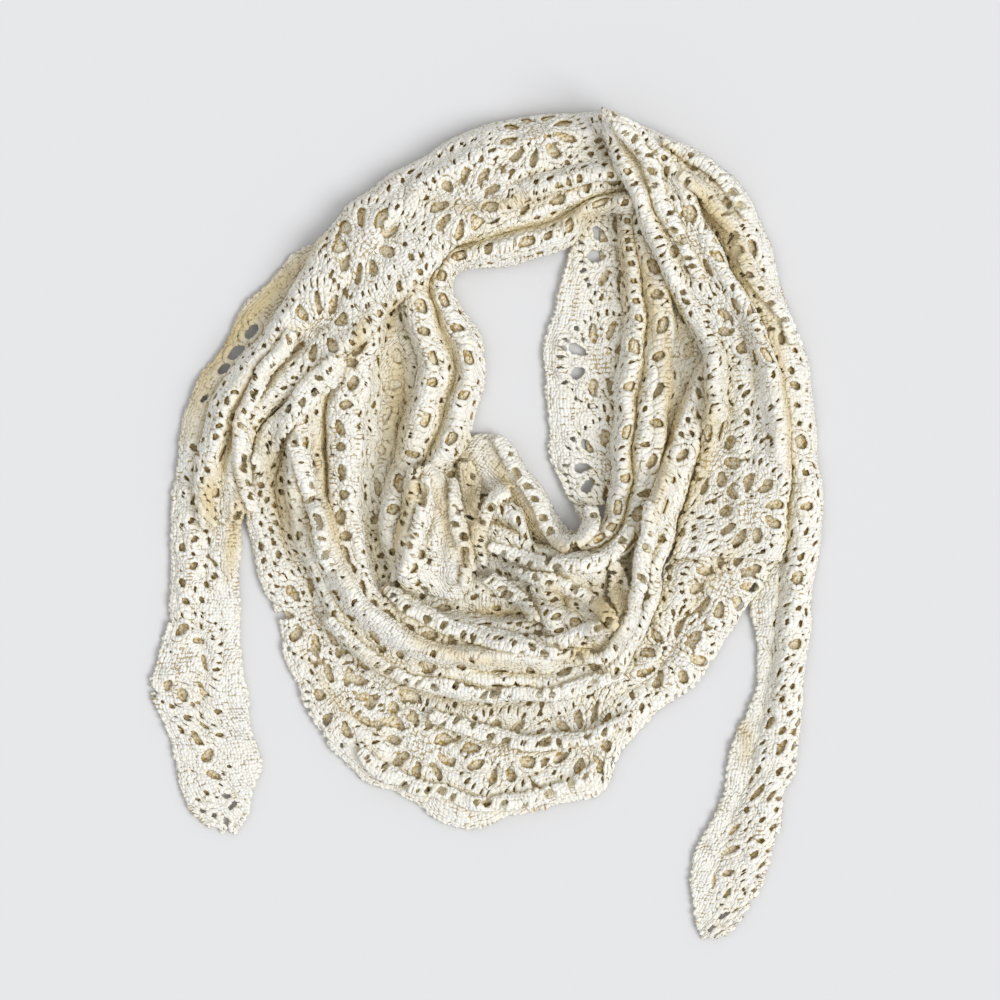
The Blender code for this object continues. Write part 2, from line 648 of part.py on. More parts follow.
def gap_outlines(sheet, top):
    """Outlines of every gap cut in one stretch, where no other cloth covers it."""
    outlines = []

    def keep(row, column, ahead, aside):
        places_t, places_v, inside = sheet.chart(row, column, ahead, aside)
        if not inside:
            return
        points = sheet.surface(places_t, places_v)
        middle = points.mean(axis=0)
        cover = top.read(middle[:1], middle[1:2])[0]
        if cover < middle[2] + HIDING_DEPTH:
            outlines.append((places_t, places_v))

    for flower in FLOWERS:
        if flower.stretch != sheet.name:
            continue
        row, column = sheet.nearest(*plan_to_metres(flower.plan_x, flower.plan_y))
        for petal in range(flower.petals):
            turn = math.radians(flower.turn) + math.tau * petal / flower.petals
            ahead, aside = petal_outline(
                PETAL_INNER_RADIUS, PETAL_OUTER_RADIUS, PETAL_HALF_WIDTH, turn, flower.squeeze)
            keep(row, column, ahead, aside)
    for loops in LOOP_ROWS:
        if loops.stretch != sheet.name:
            continue
        column = int(round(fold_place(sheet, loops.across) * SAMPLES_ACROSS))
        places = np.linspace(loops.first, loops.last, loops.count)
        for order, place in enumerate(places):
            row = int(round(place * SAMPLES_ALONG))
            turned = order % 2 == 1
            turn = 0.5 * math.pi if turned else 0.0
            half = 0.5 * (SHORT_LOOP_LENGTH if turned else LOOP_LENGTH)
            ahead, aside = petal_outline(-half, half, LOOP_WIDTH * 0.5, turn, 1.0)
            keep(row, column, ahead, aside)
    return outlines


def fold_place(sheet, across):
    """The place across the fold lines at a share of the width."""
    shares = [fold.across for fold in sheet.stretch.folds]
    return float(np.interp(across, shares, np.arange(len(shares))))


def crosses(first, second, least):
    """Whether two outlines come closer than a least way to each other."""
    gap = np.linalg.norm(first[:, None, :] - second[None, :, :], axis=2)
    return gap.min() < least


def lines_across(sheet):
    """Ways from the stretch's first edge to each line of points laid along it."""
    lines = []
    for fold in range(sheet.fold_count - 1):
        start = sheet.mean_across[fold * SAMPLES_ACROSS]
        width = sheet.mean_across[(fold + 1) * SAMPLES_ACROSS] - start
        parts = int(math.ceil(width / CELL_ACROSS))
        places = (fold + np.arange(parts) / parts) * SAMPLES_ACROSS
        lines.extend(np.interp(places, np.arange(len(sheet.mean_across)), sheet.mean_across))
    lines.append(sheet.mean_across[-1])
    return lines


def flat_gaps(sheet, outlines):
    """The gaps' outlines on the flat stretch, without those too near an edge or another."""
    size = np.array((sheet.mean_along[-1], sheet.mean_across[-1]))
    loops = []
    for places_t, places_v in outlines:
        loop = np.column_stack([
            np.interp(places_t, sheet.dense_t, sheet.mean_along),
            np.interp(places_v, sheet.dense_v, sheet.mean_across)])
        if (loop < GAP_MARGIN).any() or (loop > size - GAP_MARGIN).any():
            continue
        if any(crosses(loop, other, GAP_MARGIN) for other in loops):
            continue
        loops.append(loop)
    return loops


def flat_layout(sheet, outlines):
    """Points and triangles of the stretch laid flat, gaps left out."""
    length = sheet.mean_along[-1]
    width = sheet.mean_across[-1]
    steps = int(round(length / CELL_ALONG))
    lines = lines_across(sheet)
    loops = flat_gaps(sheet, outlines)
    points = []
    edges = []
    rim = []
    for station_index, station in enumerate(np.linspace(0.0, length, steps + 1)):
        for line_index, line in enumerate(lines):
            on_rim = station_index in (0, steps) or line_index in (0, len(lines) - 1)
            place = np.array((station, line))
            if not on_rim and any(inside_or_near(loop, place, POINT_MARGIN) for loop in loops):
                continue
            if on_rim:
                rim.append(len(points))
            points.append(place)
    order = sorted(rim, key=lambda index: way_round(points[index], length, width))
    edges.extend((order[index], order[(index + 1) % len(order)]) for index in range(len(order)))
    for loop in loops:
        first = len(points)
        points.extend(loop)
        edges.extend((first + k, first + (k + 1) % len(loop)) for k in range(len(loop)))
    result = delaunay_2d_cdt([tuple(point) for point in points], edges, [], 0, SMALL)
    flat = np.array([tuple(point) for point in result[0]])
    faces = []
    for face in result[2]:
        middle = flat[list(face)].mean(axis=0)
        if any(inside_polygon(loop, middle) for loop in loops):
            continue
        faces.append(tuple(face))
    return flat, faces, len(loops)


def way_round(point, length, width):
    """A running measure once round the flat stretch's four sides."""
    along, across = point
    if across < SMALL:
        return along
    if along > length - SMALL:
        return length + across
    if across > width - SMALL:
        return 2 * length + width - along
    return 2 * length + 2 * width - across


def inside_polygon(loop, point):
    """Whether a point lies within an outline."""
    inside = False
    for start, end in zip(loop, np.roll(loop, -1, axis=0)):
        if (start[1] > point[1]) != (end[1] > point[1]):
            cut = start[0] + (point[1] - start[1]) * (end[0] - start[0]) / (end[1] - start[1])
            if point[0] < cut:
                inside = not inside
    return inside


def inside_or_near(loop, point, least):
    """Whether a point lies within an outline or closer than a least way to it."""
    low = loop.min(axis=0) - least
    high = loop.max(axis=0) + least
    if (point < low).any() or (point > high).any():
        return False
    if inside_polygon(loop, point):
        return True
    for start, end in zip(loop, np.roll(loop, -1, axis=0)):
        side = end - start
        share = np.clip(np.dot(point - start, side) / np.dot(side, side), 0.0, 1.0)
        if np.linalg.norm(start + side * share - point) < least:
            return True
    return False


def vertex_normals(points, faces):
    """The cloth's facing at each point."""
    normals = np.zeros_like(points)
    for face in faces:
        a, b, c = points[list(face)]
        cross = np.cross(b - a, c - a)
        for index in face:
            normals[index] += cross
    return normals / np.linalg.norm(normals, axis=1, keepdims=True)


def open_edges(faces):
    """The edges that only one triangle uses, in that triangle's own direction."""
    directed = set()
    for a, b, c in faces:
        directed.update(((a, b), (b, c), (c, a)))
    return sorted((a, b) for a, b in directed if (b, a) not in directed)


def closed_triangles(faces, count):
    """Triangles of a closed body between a lower and an upper copy of one layer of points."""
    below = [tuple(reversed(face)) for face in faces]
    above = [tuple(index + count for index in face) for face in faces]
    sides = []
    for a, b in open_edges(faces):
        sides.append((a, b, b + count))
        sides.append((a, b + count, a + count))
    return below + above + sides


def tree_of(points, triangles):
    """A search tree of a body's triangles."""
    return BVHTree.FromPolygons([tuple(point) for point in points], triangles)


def touched_triangles(tree, others):
    """The tree's own triangles that cross one of the other bodies."""
    return {mine for other in others for mine, _other in tree.overlap(other)}


def neighbours(faces, count):
    """The points that each point shares a triangle with."""
    links = [set() for _ in range(count)]
    for a, b, c in faces:
        links[a].update((b, c))
        links[b].update((a, c))
        links[c].update((a, b))
    return [sorted(near) for near in links]


class Shell:
    """A closed wall of cloth: an underside, a top side and the cut edges between them."""

    def __init__(self, name, under, faces):
        self.name = name
        normals = vertex_normals(under, faces)
        if normals[:, 2].mean() < 0:
            faces = [face[::-1] for face in faces]
            normals = -normals
        self.faces = faces
        self.under = under
        self.top = under + normals * WALL
        self.top[:, 2] = np.maximum(self.top[:, 2], LEAST_TOP)
        self.count = len(under)
        self.triangles = closed_triangles(faces, self.count)

    def points(self, drop=0.0):
        """The underside's points, lowered by a drop, and then those of the top side."""
        under = self.under.copy()
        under[:, 2] -= drop
        return np.vstack([under, self.top])

    def raise_points(self, indices, step):
        """Lift the wall at some of its points."""
        self.under[indices, 2] += step
        self.top[indices, 2] += step


def settle(shell, below):
    """Raise the places of a shell that still touch the cloth below it."""
    links = neighbours(shell.faces, shell.count)
    trees = [tree_of(other.points(), other.triangles) for other in below]
    for _ in range(SETTLE_ROUNDS):
        tree = tree_of(shell.points(SEAM_GAP), shell.triangles)
        touched = set()
        for mine in touched_triangles(tree, trees):
            touched.update(index % shell.count for index in shell.triangles[mine])
        if not touched:
            break
        around = set()
        for index in touched:
            around.update(links[index])
        shell.raise_points(sorted(touched), LIFT_STEP)
        shell.raise_points(sorted(around - touched), LIFT_STEP * 0.5)


def build_object(name, points, triangles, colour, collection):
    """One closed, smooth shaded body with its own material."""
    mesh = bpy.data.meshes.new(name)
    mesh.from_pydata([tuple(point) for point in points], [], [tuple(face) for face in triangles])
    mesh.validate()
    mesh.update()
    body = bmesh.new()
    body.from_mesh(mesh)
    bmesh.ops.recalc_face_normals(body, faces=body.faces)
    body.to_mesh(mesh)
    body.free()
    mesh.materials.append(make_material(name + "_yarn", colour))
    mesh.shade_smooth()
    item = bpy.data.objects.new(name, mesh)
    collection.objects.link(item)
    print(name, "triangles", len(triangles))


def make_shells(sheets, top):
    """The walls of all stretches, each settled on those below it."""
    shells = []
    for sheet in sheets:
        flat, faces, gaps = flat_layout(sheet, gap_outlines(sheet, top))
        places_t = np.interp(flat[:, 0], sheet.mean_along, sheet.dense_t)
        places_v = np.interp(flat[:, 1], sheet.mean_across, sheet.dense_v)
        shell = Shell(sheet.name, sheet.surface(places_t, places_v), faces)
        settle(shell, shells)
        print(sheet.name, "gaps", gaps)
        shells.append(shell)
    return shells


def lowest_underside(shells):
    """The lowest cloth over each square of the plan."""
    lowest = Raster(NO_CLOTH)
    steps = range(FACE_SAMPLES + 1)
    shares = [(a / FACE_SAMPLES, b / FACE_SAMPLES) for a in steps for b in steps
              if a + b <= FACE_SAMPLES]
    for shell in shells:
        for face in shell.faces:
            a, b, c = shell.under[list(face)]
            points = np.array([a + (b - a) * s + (c - a) * t for s, t in shares])
            column, row = lowest.cells(points[:, 0], points[:, 1])
            np.minimum.at(lowest.values, (column, row), points[:, 2])
    return lowest


def patches(cells):
    """Sets of squares that join side to side, the largest first."""
    left = set(cells)
    found = []
    while left:
        patch = set()
        queue = [left.pop()]
        while queue:
            cell = queue.pop()
            patch.add(cell)
            for step in ((1, 0), (-1, 0), (0, 1), (0, -1)):
                near = (cell[0] + step[0], cell[1] + step[1])
                if near in left:
                    left.discard(near)
                    queue.append(near)
        found.append(patch)
    return sorted(found, key=lambda patch: (-len(patch), sorted(patch)[0]))


def hidden_layers(shells):
    """Upper points and triangles of each solid that stands for layers inside the bundle."""
    lowest = lowest_underside(shells)
    lowest.spread(LIFT_SPREAD_ROUNDS, np.minimum)
    columns = int(FIELD_X / HIDDEN_CELL)
    rows = int(FIELD_Y / HIDDEN_CELL)

    def corner(cell):
        return (cell[0] - columns / 2) * HIDDEN_CELL, (cell[1] - rows / 2) * HIDDEN_CELL

    def height(cell):
        x, y = corner(cell)
        return lowest.read(np.array([x]), np.array([y]))[0]

    cells = []
    for column in range(columns):
        for row in range(rows):
            heights = [height((column + i, row + j)) for i in (0, 1) for j in (0, 1)]
            if min(heights) > HIDDEN_LEAST_HEIGHT and max(heights) < HIDDEN_MOST_HEIGHT:
                cells.append((column, row))
    layers = []
    for patch in patches(drop_pinches(cells)):
        if len(patch) < HIDDEN_LEAST_SQUARES:
            continue
        index = {}
        upper = []
        faces = []
        for column, row in sorted(patch):
            quad = []
            for step in ((0, 0), (1, 0), (1, 1), (0, 1)):
                cell = (column + step[0], row + step[1])
                if cell not in index:
                    index[cell] = len(upper)
                    x, y = corner(cell)
                    upper.append((x, y, height(cell) - HIDDEN_CLEARANCE))
                quad.append(index[cell])
            faces.append((quad[0], quad[1], quad[2]))
            faces.append((quad[0], quad[2], quad[3]))
        layers.append((np.array(upper), faces))
    return layers


def drop_pinches(cells):
    """Leave out squares that meet the rest only at a corner."""
    cells = set(cells)
    changed = True
    while changed:
        changed = False
        for column, row in sorted(cells):
            for i, j in ((1, 1), (1, -1)):
                across = (column + i, row + j)
                if across in cells and (column + i, row) not in cells \
                        and (column, row + j) not in cells:
                    cells.discard((column, row))
                    changed = True
                    break
    return cells


def rim_neighbours(faces):
    """Each rim point's two neighbours on the rim."""
    links = {}
    for a, b in open_edges(faces):
        links.setdefault(a, []).append(b)
        links.setdefault(b, []).append(a)
    return links


def hidden_solid(top, faces, shells):
    """A flat-based solid under the cloth, sunk until it touches none of it."""
    rim = rim_neighbours(faces)
    for _ in range(HIDDEN_RIM_ROUNDS):
        moved = top.copy()
        for index, near in rim.items():
            moved[index, :2] = 0.5 * top[index, :2] + 0.5 * top[near, :2].mean(axis=0)
        top = moved
    for index in rim:
        top[index, 2] *= HIDDEN_RIM_SHARE
    base = top.copy()
    base[:, 2] = 0.0
    count = len(top)
    links = neighbours(faces, count)
    triangles = closed_triangles(faces, count)
    trees = [tree_of(other.points(), other.triangles) for other in shells]
    for _ in range(SETTLE_ROUNDS):
        raised = top.copy()
        raised[:, 2] += SEAM_GAP
        tree = tree_of(np.vstack([base, raised]), triangles)
        touched = set()
        for mine in touched_triangles(tree, trees):
            touched.update(index % count for index in triangles[mine])
        if not touched:
            break
        for index in touched:
            if top[index, 2] > HIDDEN_LEAST_TOP:
                top[index, 2] = max(top[index, 2] - LIFT_STEP, HIDDEN_LEAST_TOP)
            else:
                inward = top[links[index], :2].mean(axis=0) - top[index, :2]
                top[index, :2] += HIDDEN_PULL * inward
                base[index, :2] = top[index, :2]
    return np.vstack([base, top]), triangles


def main():
    """Build every stretch of the scarf and the solids of its hidden layers."""
    clear_scene()
    collection = make_collection(COLLECTION_NAME)
    sheets = [Sheet(stretch) for stretch in LAYING_ORDER]
    shells = make_shells(sheets, lay_sheets(sheets))
    for shell in shells:
        build_object(shell.name, shell.points(), shell.triangles, YARN_COLOUR, collection)
    for upper, faces in hidden_layers(shells):
        name = HIDDEN_BACK if upper[:, 1].mean() > 0.0 else HIDDEN_FRONT
        points, triangles = hidden_solid(upper, faces, shells)
        build_object(name, points, triangles, SHADE_COLOUR, collection)


main()
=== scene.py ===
"""Looks of the lace neckerchief: every stretch of crocheted cloth as a fine shell on the form
of its solid, with its flowers, loops and net cut through, and the studio it lies in.
Plan units in the tables count from the left and from the top of the laid-out scarf.
"""
import logging
import math
from dataclasses import dataclass
from enum import Enum
from functools import reduce
from typing import NamedTuple

import bmesh
import bpy
import numpy as np
from bpy.types import ID, Material, Mesh, Node, NodeSocket as Socket, Object
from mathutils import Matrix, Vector


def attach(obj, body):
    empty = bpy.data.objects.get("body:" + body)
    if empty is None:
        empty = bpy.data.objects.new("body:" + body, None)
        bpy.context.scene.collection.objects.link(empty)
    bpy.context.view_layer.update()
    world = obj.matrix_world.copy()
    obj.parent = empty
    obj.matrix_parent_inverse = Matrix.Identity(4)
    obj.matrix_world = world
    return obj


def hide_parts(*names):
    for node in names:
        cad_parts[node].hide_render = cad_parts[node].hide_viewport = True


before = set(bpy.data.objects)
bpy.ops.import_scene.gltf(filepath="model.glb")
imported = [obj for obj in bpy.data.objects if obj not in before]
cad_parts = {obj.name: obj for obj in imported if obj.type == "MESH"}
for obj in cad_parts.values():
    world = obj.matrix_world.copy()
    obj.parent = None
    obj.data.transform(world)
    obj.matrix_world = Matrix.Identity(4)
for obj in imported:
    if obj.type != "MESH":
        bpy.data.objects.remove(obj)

LOG = logging.getLogger("lace_neckerchief")

Span = tuple[float, float]
Line = tuple[tuple[float, float], ...]
Colour = tuple[float, float, float, float]
Window = tuple[slice, slice]
Array = np.ndarray

# driving sizes, in metres
OVERALL_LENGTH = 0.540
WALL = 0.0018
LAY_CLEARANCE = 0.0008
MILLIMETRE = 0.001
SMALL = 1e-7

# the plan of the laid-out scarf, in plan units
PLAN_LENGTH = 829.0
PLAN_CENTRE_X = 486.0
PLAN_CENTRE_Y = 527.5
PLAN_UNIT = OVERALL_LENGTH / PLAN_LENGTH

# the height map in which the stretches are laid on each other
FIELD_X = 0.52
FIELD_Y = 0.61
RASTER_CELL = 0.003
FINE_ALONG = 22
FINE_ACROSS = 12
LIFT_SPREAD_ROUNDS = 2
LIFT_SOFTEN_ROUNDS = 4
SAMPLES_ALONG = 14
SAMPLES_ACROSS = 8
TOPMOST_PULL = 0.02
# how a line's profile fades at its ends, and how a narrow fold swells along its length
LINE_FADE = (0.06, 0.94)
END_SWELL = 0.55
UNEVEN_WIDTHS = (0.92, 1.12)
# a petal's width at its foot, as a share of its full width, and how fast it widens
PETAL_FOOT = 0.62
PETAL_WIDENING = 0.6


class Fold(NamedTuple):
    """A fold line: share of the width, of the section's rise and of its crease."""

    across: float
    rise: float
    crease: float = 0.0


class Section(NamedTuple):
    """Both edges of a stretch in plan units, and the heights of its underside in mm."""

    outer_x: float
    outer_y: float
    inner_x: float
    inner_y: float
    outer_mm: float
    crest_mm: float
    inner_mm: float
    crease_mm: float = 0.0


class Stretch(NamedTuple):
    """One stretch of cloth: its fold lines and the sections along it."""

    name: str
    folds: tuple[Fold, ...]
    sections: tuple[Section, ...]


class Flower(NamedTuple):
    """A flower motif: middle in plan units, petals, turn in degrees, share of full width."""

    plan_x: float
    plan_y: float
    petals: int
    turn: float
    squeeze: float


class LoopRow(NamedTuple):
    """A row of single gaps: share of the width, first and last section, number of gaps."""

    across: float
    first: float
    last: float
    count: int


def fold_lines(*rows: tuple[float, ...]) -> tuple[Fold, ...]:
    """Fold lines from rows with the columns of Fold."""
    return tuple(Fold(*row) for row in rows)


def lay_out(name: str, folds: tuple[Fold, ...], rows: tuple[tuple[float, ...], ...]) -> Stretch:
    """A stretch whose sections are given as rows with the columns of Section."""
    return Stretch(name, folds, tuple(Section(*row) for row in rows))


def by_stretch(kind: type, table: dict[str, tuple[tuple, ...]]) -> dict[str, tuple]:
    """A table for each stretch, whose rows get the kind's named columns."""
    return {name: tuple(kind(*row) for row in rows) for name, rows in table.items()}


# fold lines of each kind of stretch, from its outer edge to its inner one: share of the width,
# share of the section's rise and share of the depth of the section's crease
FLAT_FOLDS = fold_lines((0.00, 0.0), (0.22, 0.9), (0.50, 0.7), (0.78, 1.0), (1.00, 0.0))
ROLL_FOLDS = fold_lines((0.00, 0.0), (0.20, 0.93), (0.50, 1.0, 1.0), (0.80, 0.93), (1.00, 0.0))
RIGHT_OUTER_FOLDS = fold_lines((0.00, 0.0), (0.14, 0.75), (0.42, 1.0), (0.62, 0.5), (1.00, 0.0))
DRAPE_FOLDS = fold_lines(
    (0.00, 0.0), (0.15, 0.60), (0.40, 0.80, 0.35), (0.54, 0.75, 1.0), (0.72, 1.0, 0.35),
    (1.00, 0.0))
RIM_FOLDS = fold_lines((0.00, 0.0), (0.25, 1.0), (0.50, 0.45), (1.00, 0.0))
VALLEY_ROLL_FOLDS = fold_lines(
    (0.00, 0.0), (0.08, 0.93), (0.22, 1.0), (0.37, 0.93), (0.50, 0.0), (1.00, 0.0))
TWIN_ROLL_FOLDS = fold_lines(
    (0.00, 0.0), (0.16, 0.95), (0.34, 1.0), (0.54, 0.25), (0.74, 0.92), (1.00, 0.0))
RIGHT_RIDGE_FOLDS = fold_lines(
    (0.00, 0.0), (0.46, 0.0), (0.53, 0.95), (0.68, 1.0), (0.765, 0.35), (0.87, 0.90), (1.00, 0.0))
PANEL_FOLDS = fold_lines(
    (0.00, 0.0), (0.10, 0.95), (0.40, 1.0), (0.72, 0.92, 1.0), (0.92, 0.75, 0.7), (1.00, 0.0))
ARCH_FOLDS = fold_lines(
    (0.00, 0.0), (0.05, 0.50), (0.25, 0.92), (0.50, 0.95, 1.0), (0.74, 1.0), (0.95, 0.82),
    (1.00, 0.0))

# sections along each stretch: x and y of its outer and of its inner edge in plan units, then
# the heights of the underside in mm at the outer edge, the crest, the inner edge and the crease
LEFT_TAIL = lay_out("left_tail", FLAT_FOLDS, (
    (330, 236, 362, 276, 1, 4, 3), (291, 257, 334, 297, 0, 4, 3), (243, 310, 294, 344, 0, 5, 3),
    (215, 358, 269, 379, 0, 5, 3), (185, 410, 242, 413, 0, 6, 3), (179, 460, 242, 459, 0, 6, 2),
    (170, 520, 244, 522, 0, 5, 0), (171, 580, 239, 585, 0, 5, 0), (161, 640, 243, 637, 0, 3, 0),
    (149, 688, 248, 690, 0, 2, 0), (170, 742, 254, 738, 0, 2, 0), (180, 790, 261, 773, 0, 2, 0),
    (203, 821, 246, 817, 0, 1, 0), (217, 834, 238, 835, 0, 0, 0),
))
RIGHT_TAIL = lay_out("right_outer_and_tail", RIGHT_OUTER_FOLDS, (
    (602, 116, 622, 150, 6, 15, 6), (664, 138, 640, 178, 1, 20, 6),
    (734, 180, 668, 216, 0, 22, 5), (768, 245, 690, 256, 0, 22, 4),
    (784, 302, 715, 311, 0, 21, 3), (804, 362, 740, 366, 0, 19, 2),
    (814, 430, 755, 430, 0, 17, 2), (820, 512, 765, 512, 0, 13, 1),
    (811, 600, 752, 602, 0, 11, 0), (803, 680, 756, 682, 0, 9, 0), (797, 745, 729, 750, 0, 6, 0),
    (783, 803, 717, 806, 0, 4, 0), (769, 866, 689, 864, 0, 2, 0), (745, 916, 693, 915, 0, 1, 0),
    (721, 940, 702, 942, 0, 0, 0),
))
INNER_PANEL = lay_out("inner_panel", FLAT_FOLDS, (
    (582, 200, 642, 206, 0, 2, 3), (571, 238, 648, 245, 0, 2, 3), (558, 285, 652, 285, 0, 2, 3),
    (551, 322, 654, 322, 0, 2, 3), (541, 354, 654, 354, 0, 2, 3), (547, 402, 654, 400, 0, 2, 3),
    (547, 452, 650, 448, 0, 2, 3), (558, 484, 642, 478, 1, 4, 3), (578, 506, 632, 504, 1, 5, 3),
))
INNER_RIM = lay_out("inner_rim", RIM_FOLDS, (
    (574, 502, 618, 526, 0, 6, 2), (583, 520, 618, 560, 0, 11, 2), (577, 532, 590, 585, 0, 13, 2),
    (565, 526, 545, 585, 0, 14, 2), (556, 512, 512, 566, 0, 14, 2),
    (547, 500, 492, 545, 0, 14, 2), (535, 480, 480, 524, 0, 12, 2),
    (519, 457, 466, 510, 0, 10, 2), (500, 440, 452, 500, 0, 8, 2), (479, 434, 440, 488, 0, 6, 2),
    (460, 436, 430, 470, 0, 4, 2),
))
DRAPE = lay_out("front_drape", DRAPE_FOLDS, (
    (266, 425, 318, 385, 4, 15, 6, 5), (256, 456, 304, 448, 3, 13, 4, 9),
    (247, 505, 302, 498, 0, 10, 3, 8), (256, 562, 320, 546, 0, 6, 3, 4),
    (277, 622, 352, 590, 0, 4, 5, 2), (300, 698, 384, 630, 0, 4, 7, 2),
    (336, 757, 412, 650, 0, 6, 8, 2), (398, 795, 440, 660, 0, 7, 9, 3),
    (421, 805, 452, 663, 0, 7, 10, 3), (440, 823, 463, 665, 0, 7, 10, 4),
    (478, 828, 482, 667, 0, 8, 10, 4), (532, 812, 514, 670, 0, 8, 10, 4),
    (600, 792, 556, 672, 0, 8, 9, 4), (636, 730, 602, 668, 0, 8, 7, 3),
    (695, 684, 632, 648, 0, 10, 4, 2), (731, 630, 650, 602, 0, 12, 3, 1),
    (757, 592, 666, 562, 1, 13, 3, 1), (783, 553, 682, 534, 2, 11, 3, 0),
))
SECOND_SWAG = lay_out("left_ridge_and_second_swag", VALLEY_ROLL_FOLDS, (
    (348, 306, 414, 286, 12, 17, 8), (350, 336, 416, 330, 9, 20, 2),
    (335, 372, 420, 372, 4, 21, 2), (328, 420, 411, 420, 3, 21, 2),
    (331, 470, 400, 470, 3, 21, 3), (331, 520, 396, 520, 3, 21, 4),
    (337, 568, 400, 540, 4, 21, 5), (360, 612, 406, 560, 6, 22, 6),
    (404, 642, 424, 570, 8, 23, 6), (458, 655, 466, 570, 9, 23, 6),
    (512, 656, 510, 580, 9, 23, 4), (556, 645, 546, 570, 8, 22, 4),
    (604, 627, 576, 566, 6, 20, 4),
))
THIRD_SWAG = lay_out("third_swag", ROLL_FOLDS, (
    (298, 402, 330, 384, 5, 13, 5), (292, 442, 323, 439, 3, 15, 3),
    (289, 482, 326, 479, 2, 15, 3), (294, 523, 331, 512, 2, 14, 3),
    (308, 566, 342, 545, 3, 13, 4), (330, 610, 358, 585, 4, 15, 6),
    (362, 650, 385, 614, 6, 17, 8), (404, 673, 417, 635, 7, 19, 9),
    (458, 684, 461, 645, 8, 20, 10), (515, 687, 512, 645, 8, 20, 9),
    (569, 693, 563, 650, 7, 19, 6), (614, 678, 590, 636, 5, 18, 4),
    (637, 645, 610, 614, 3, 18, 3), (653, 609, 626, 596, 3, 18, 3),
    (662, 565, 634, 556, 3, 19, 3), (675, 520, 648, 505, 3, 18, 3),
    (689, 479, 660, 466, 3, 17, 2), (704, 432, 676, 420, 3, 14, 2),
    (718, 393, 693, 377, 3, 11, 2), (738, 352, 716, 338, 3, 9, 2),
))
NECK_LOOP = lay_out("neck_loop", TWIN_ROLL_FOLDS, (
    (632, 172, 630, 214, 10, 19, 4), (600, 174, 596, 216, 10, 22, 4),
    (562, 182, 566, 246, 10, 22, 4), (520, 198, 520, 261, 10, 21, 2),
    (476, 212, 480, 268, 10, 20, 2), (436, 236, 455, 273, 9, 19, 2),
    (404, 280, 452, 292, 8, 18, 1), (405, 318, 464, 316, 5, 18, 1),
    (417, 352, 484, 350, 3, 18, 1), (416, 388, 482, 386, 3, 18, 1),
    (402, 430, 468, 436, 3, 18, 2), (392, 472, 444, 476, 3, 18, 3),
    (382, 512, 434, 512, 4, 19, 4), (386, 548, 424, 536, 5, 18, 5),
    (392, 580, 418, 566, 6, 14, 6),
))
RIGHT_RIDGES = lay_out("right_ridges_and_first_swag", RIGHT_RIDGE_FOLDS, (
    (672, 206, 616, 206, 6, 17, 3), (684, 244, 620, 242, 3, 17, 3),
    (706, 290, 624, 290, 2, 17, 2), (716, 335, 624, 335, 2, 18, 2),
    (718, 385, 616, 385, 2, 19, 2), (708, 440, 612, 440, 2, 20, 2),
    (694, 492, 611, 490, 2, 20, 2), (680, 534, 606, 518, 2, 20, 2),
    (656, 572, 594, 532, 2, 19, 4), (612, 590, 570, 543, 3, 19, 5),
    (552, 596, 530, 541, 4, 19, 5), (512, 598, 518, 508, 5, 20, 4),
    (486, 598, 488, 496, 6, 20, 4), (474, 590, 476, 506, 6, 14, 4),
))
CENTRE_FLAP = lay_out("centre_flap", ROLL_FOLDS, (
    (412, 466, 432, 462, 8, 16, 10), (406, 490, 446, 484, 8, 21, 8),
    (402, 520, 464, 512, 8, 24, 5), (398, 550, 469, 542, 8, 25, 5),
    (398, 576, 471, 572, 8, 23, 6), (408, 592, 460, 600, 8, 13, 8),
))
CRUMPLE = lay_out("crumpled_fold", ROLL_FOLDS, (
    (530, 575, 556, 552, 8, 14, 8), (534, 600, 590, 556, 8, 22, 6, 3),
    (545, 626, 612, 590, 8, 24, 6, 6), (566, 644, 616, 616, 8, 21, 6, 3),
    (590, 644, 606, 634, 8, 13, 7),
))
ARCH = lay_out("arch", ARCH_FOLDS, (
    (624, 119, 640, 182, 2, 16, 10, 4), (597, 117, 604, 182, 0, 23, 14, 2),
    (547, 118, 556, 193, 0, 26, 16), (484, 129, 512, 211, 0, 28, 18),
    (424, 158, 462, 242, 0, 28, 18, 2), (367, 194, 418, 286, 0, 28, 18, 3),
    (323, 238, 384, 318, 1, 28, 18, 3), (296, 290, 356, 350, 3, 26, 16, 5),
    (262, 340, 314, 384, 3, 23, 12, 8), (218, 396, 272, 410, 4, 18, 7, 11),
    (203, 448, 250, 454, 3, 14, 4, 9), (196, 500, 245, 500, 3, 11, 3, 4),
    (204, 532, 240, 522, 3, 6, 3),
))
PANEL = lay_out("crossing_panel", PANEL_FOLDS, (
    (600, 115, 604, 138, 6, 24, 10), (640, 136, 612, 160, 9, 31, 12),
    (684, 190, 636, 214, 8, 31, 10, 2), (710, 240, 653, 256, 7, 29, 6, 2),
    (736, 290, 677, 304, 6, 26, 5, 1), (763, 338, 700, 350, 6, 23, 4, 1),
    (780, 390, 706, 400, 5, 21, 3, 4), (786, 440, 700, 446, 5, 19, 3, 6),
    (786, 492, 688, 496, 5, 17, 3, 6), (785, 533, 678, 532, 4, 15, 3, 4),
    (780, 558, 672, 556, 4, 7, 3, 0),
))

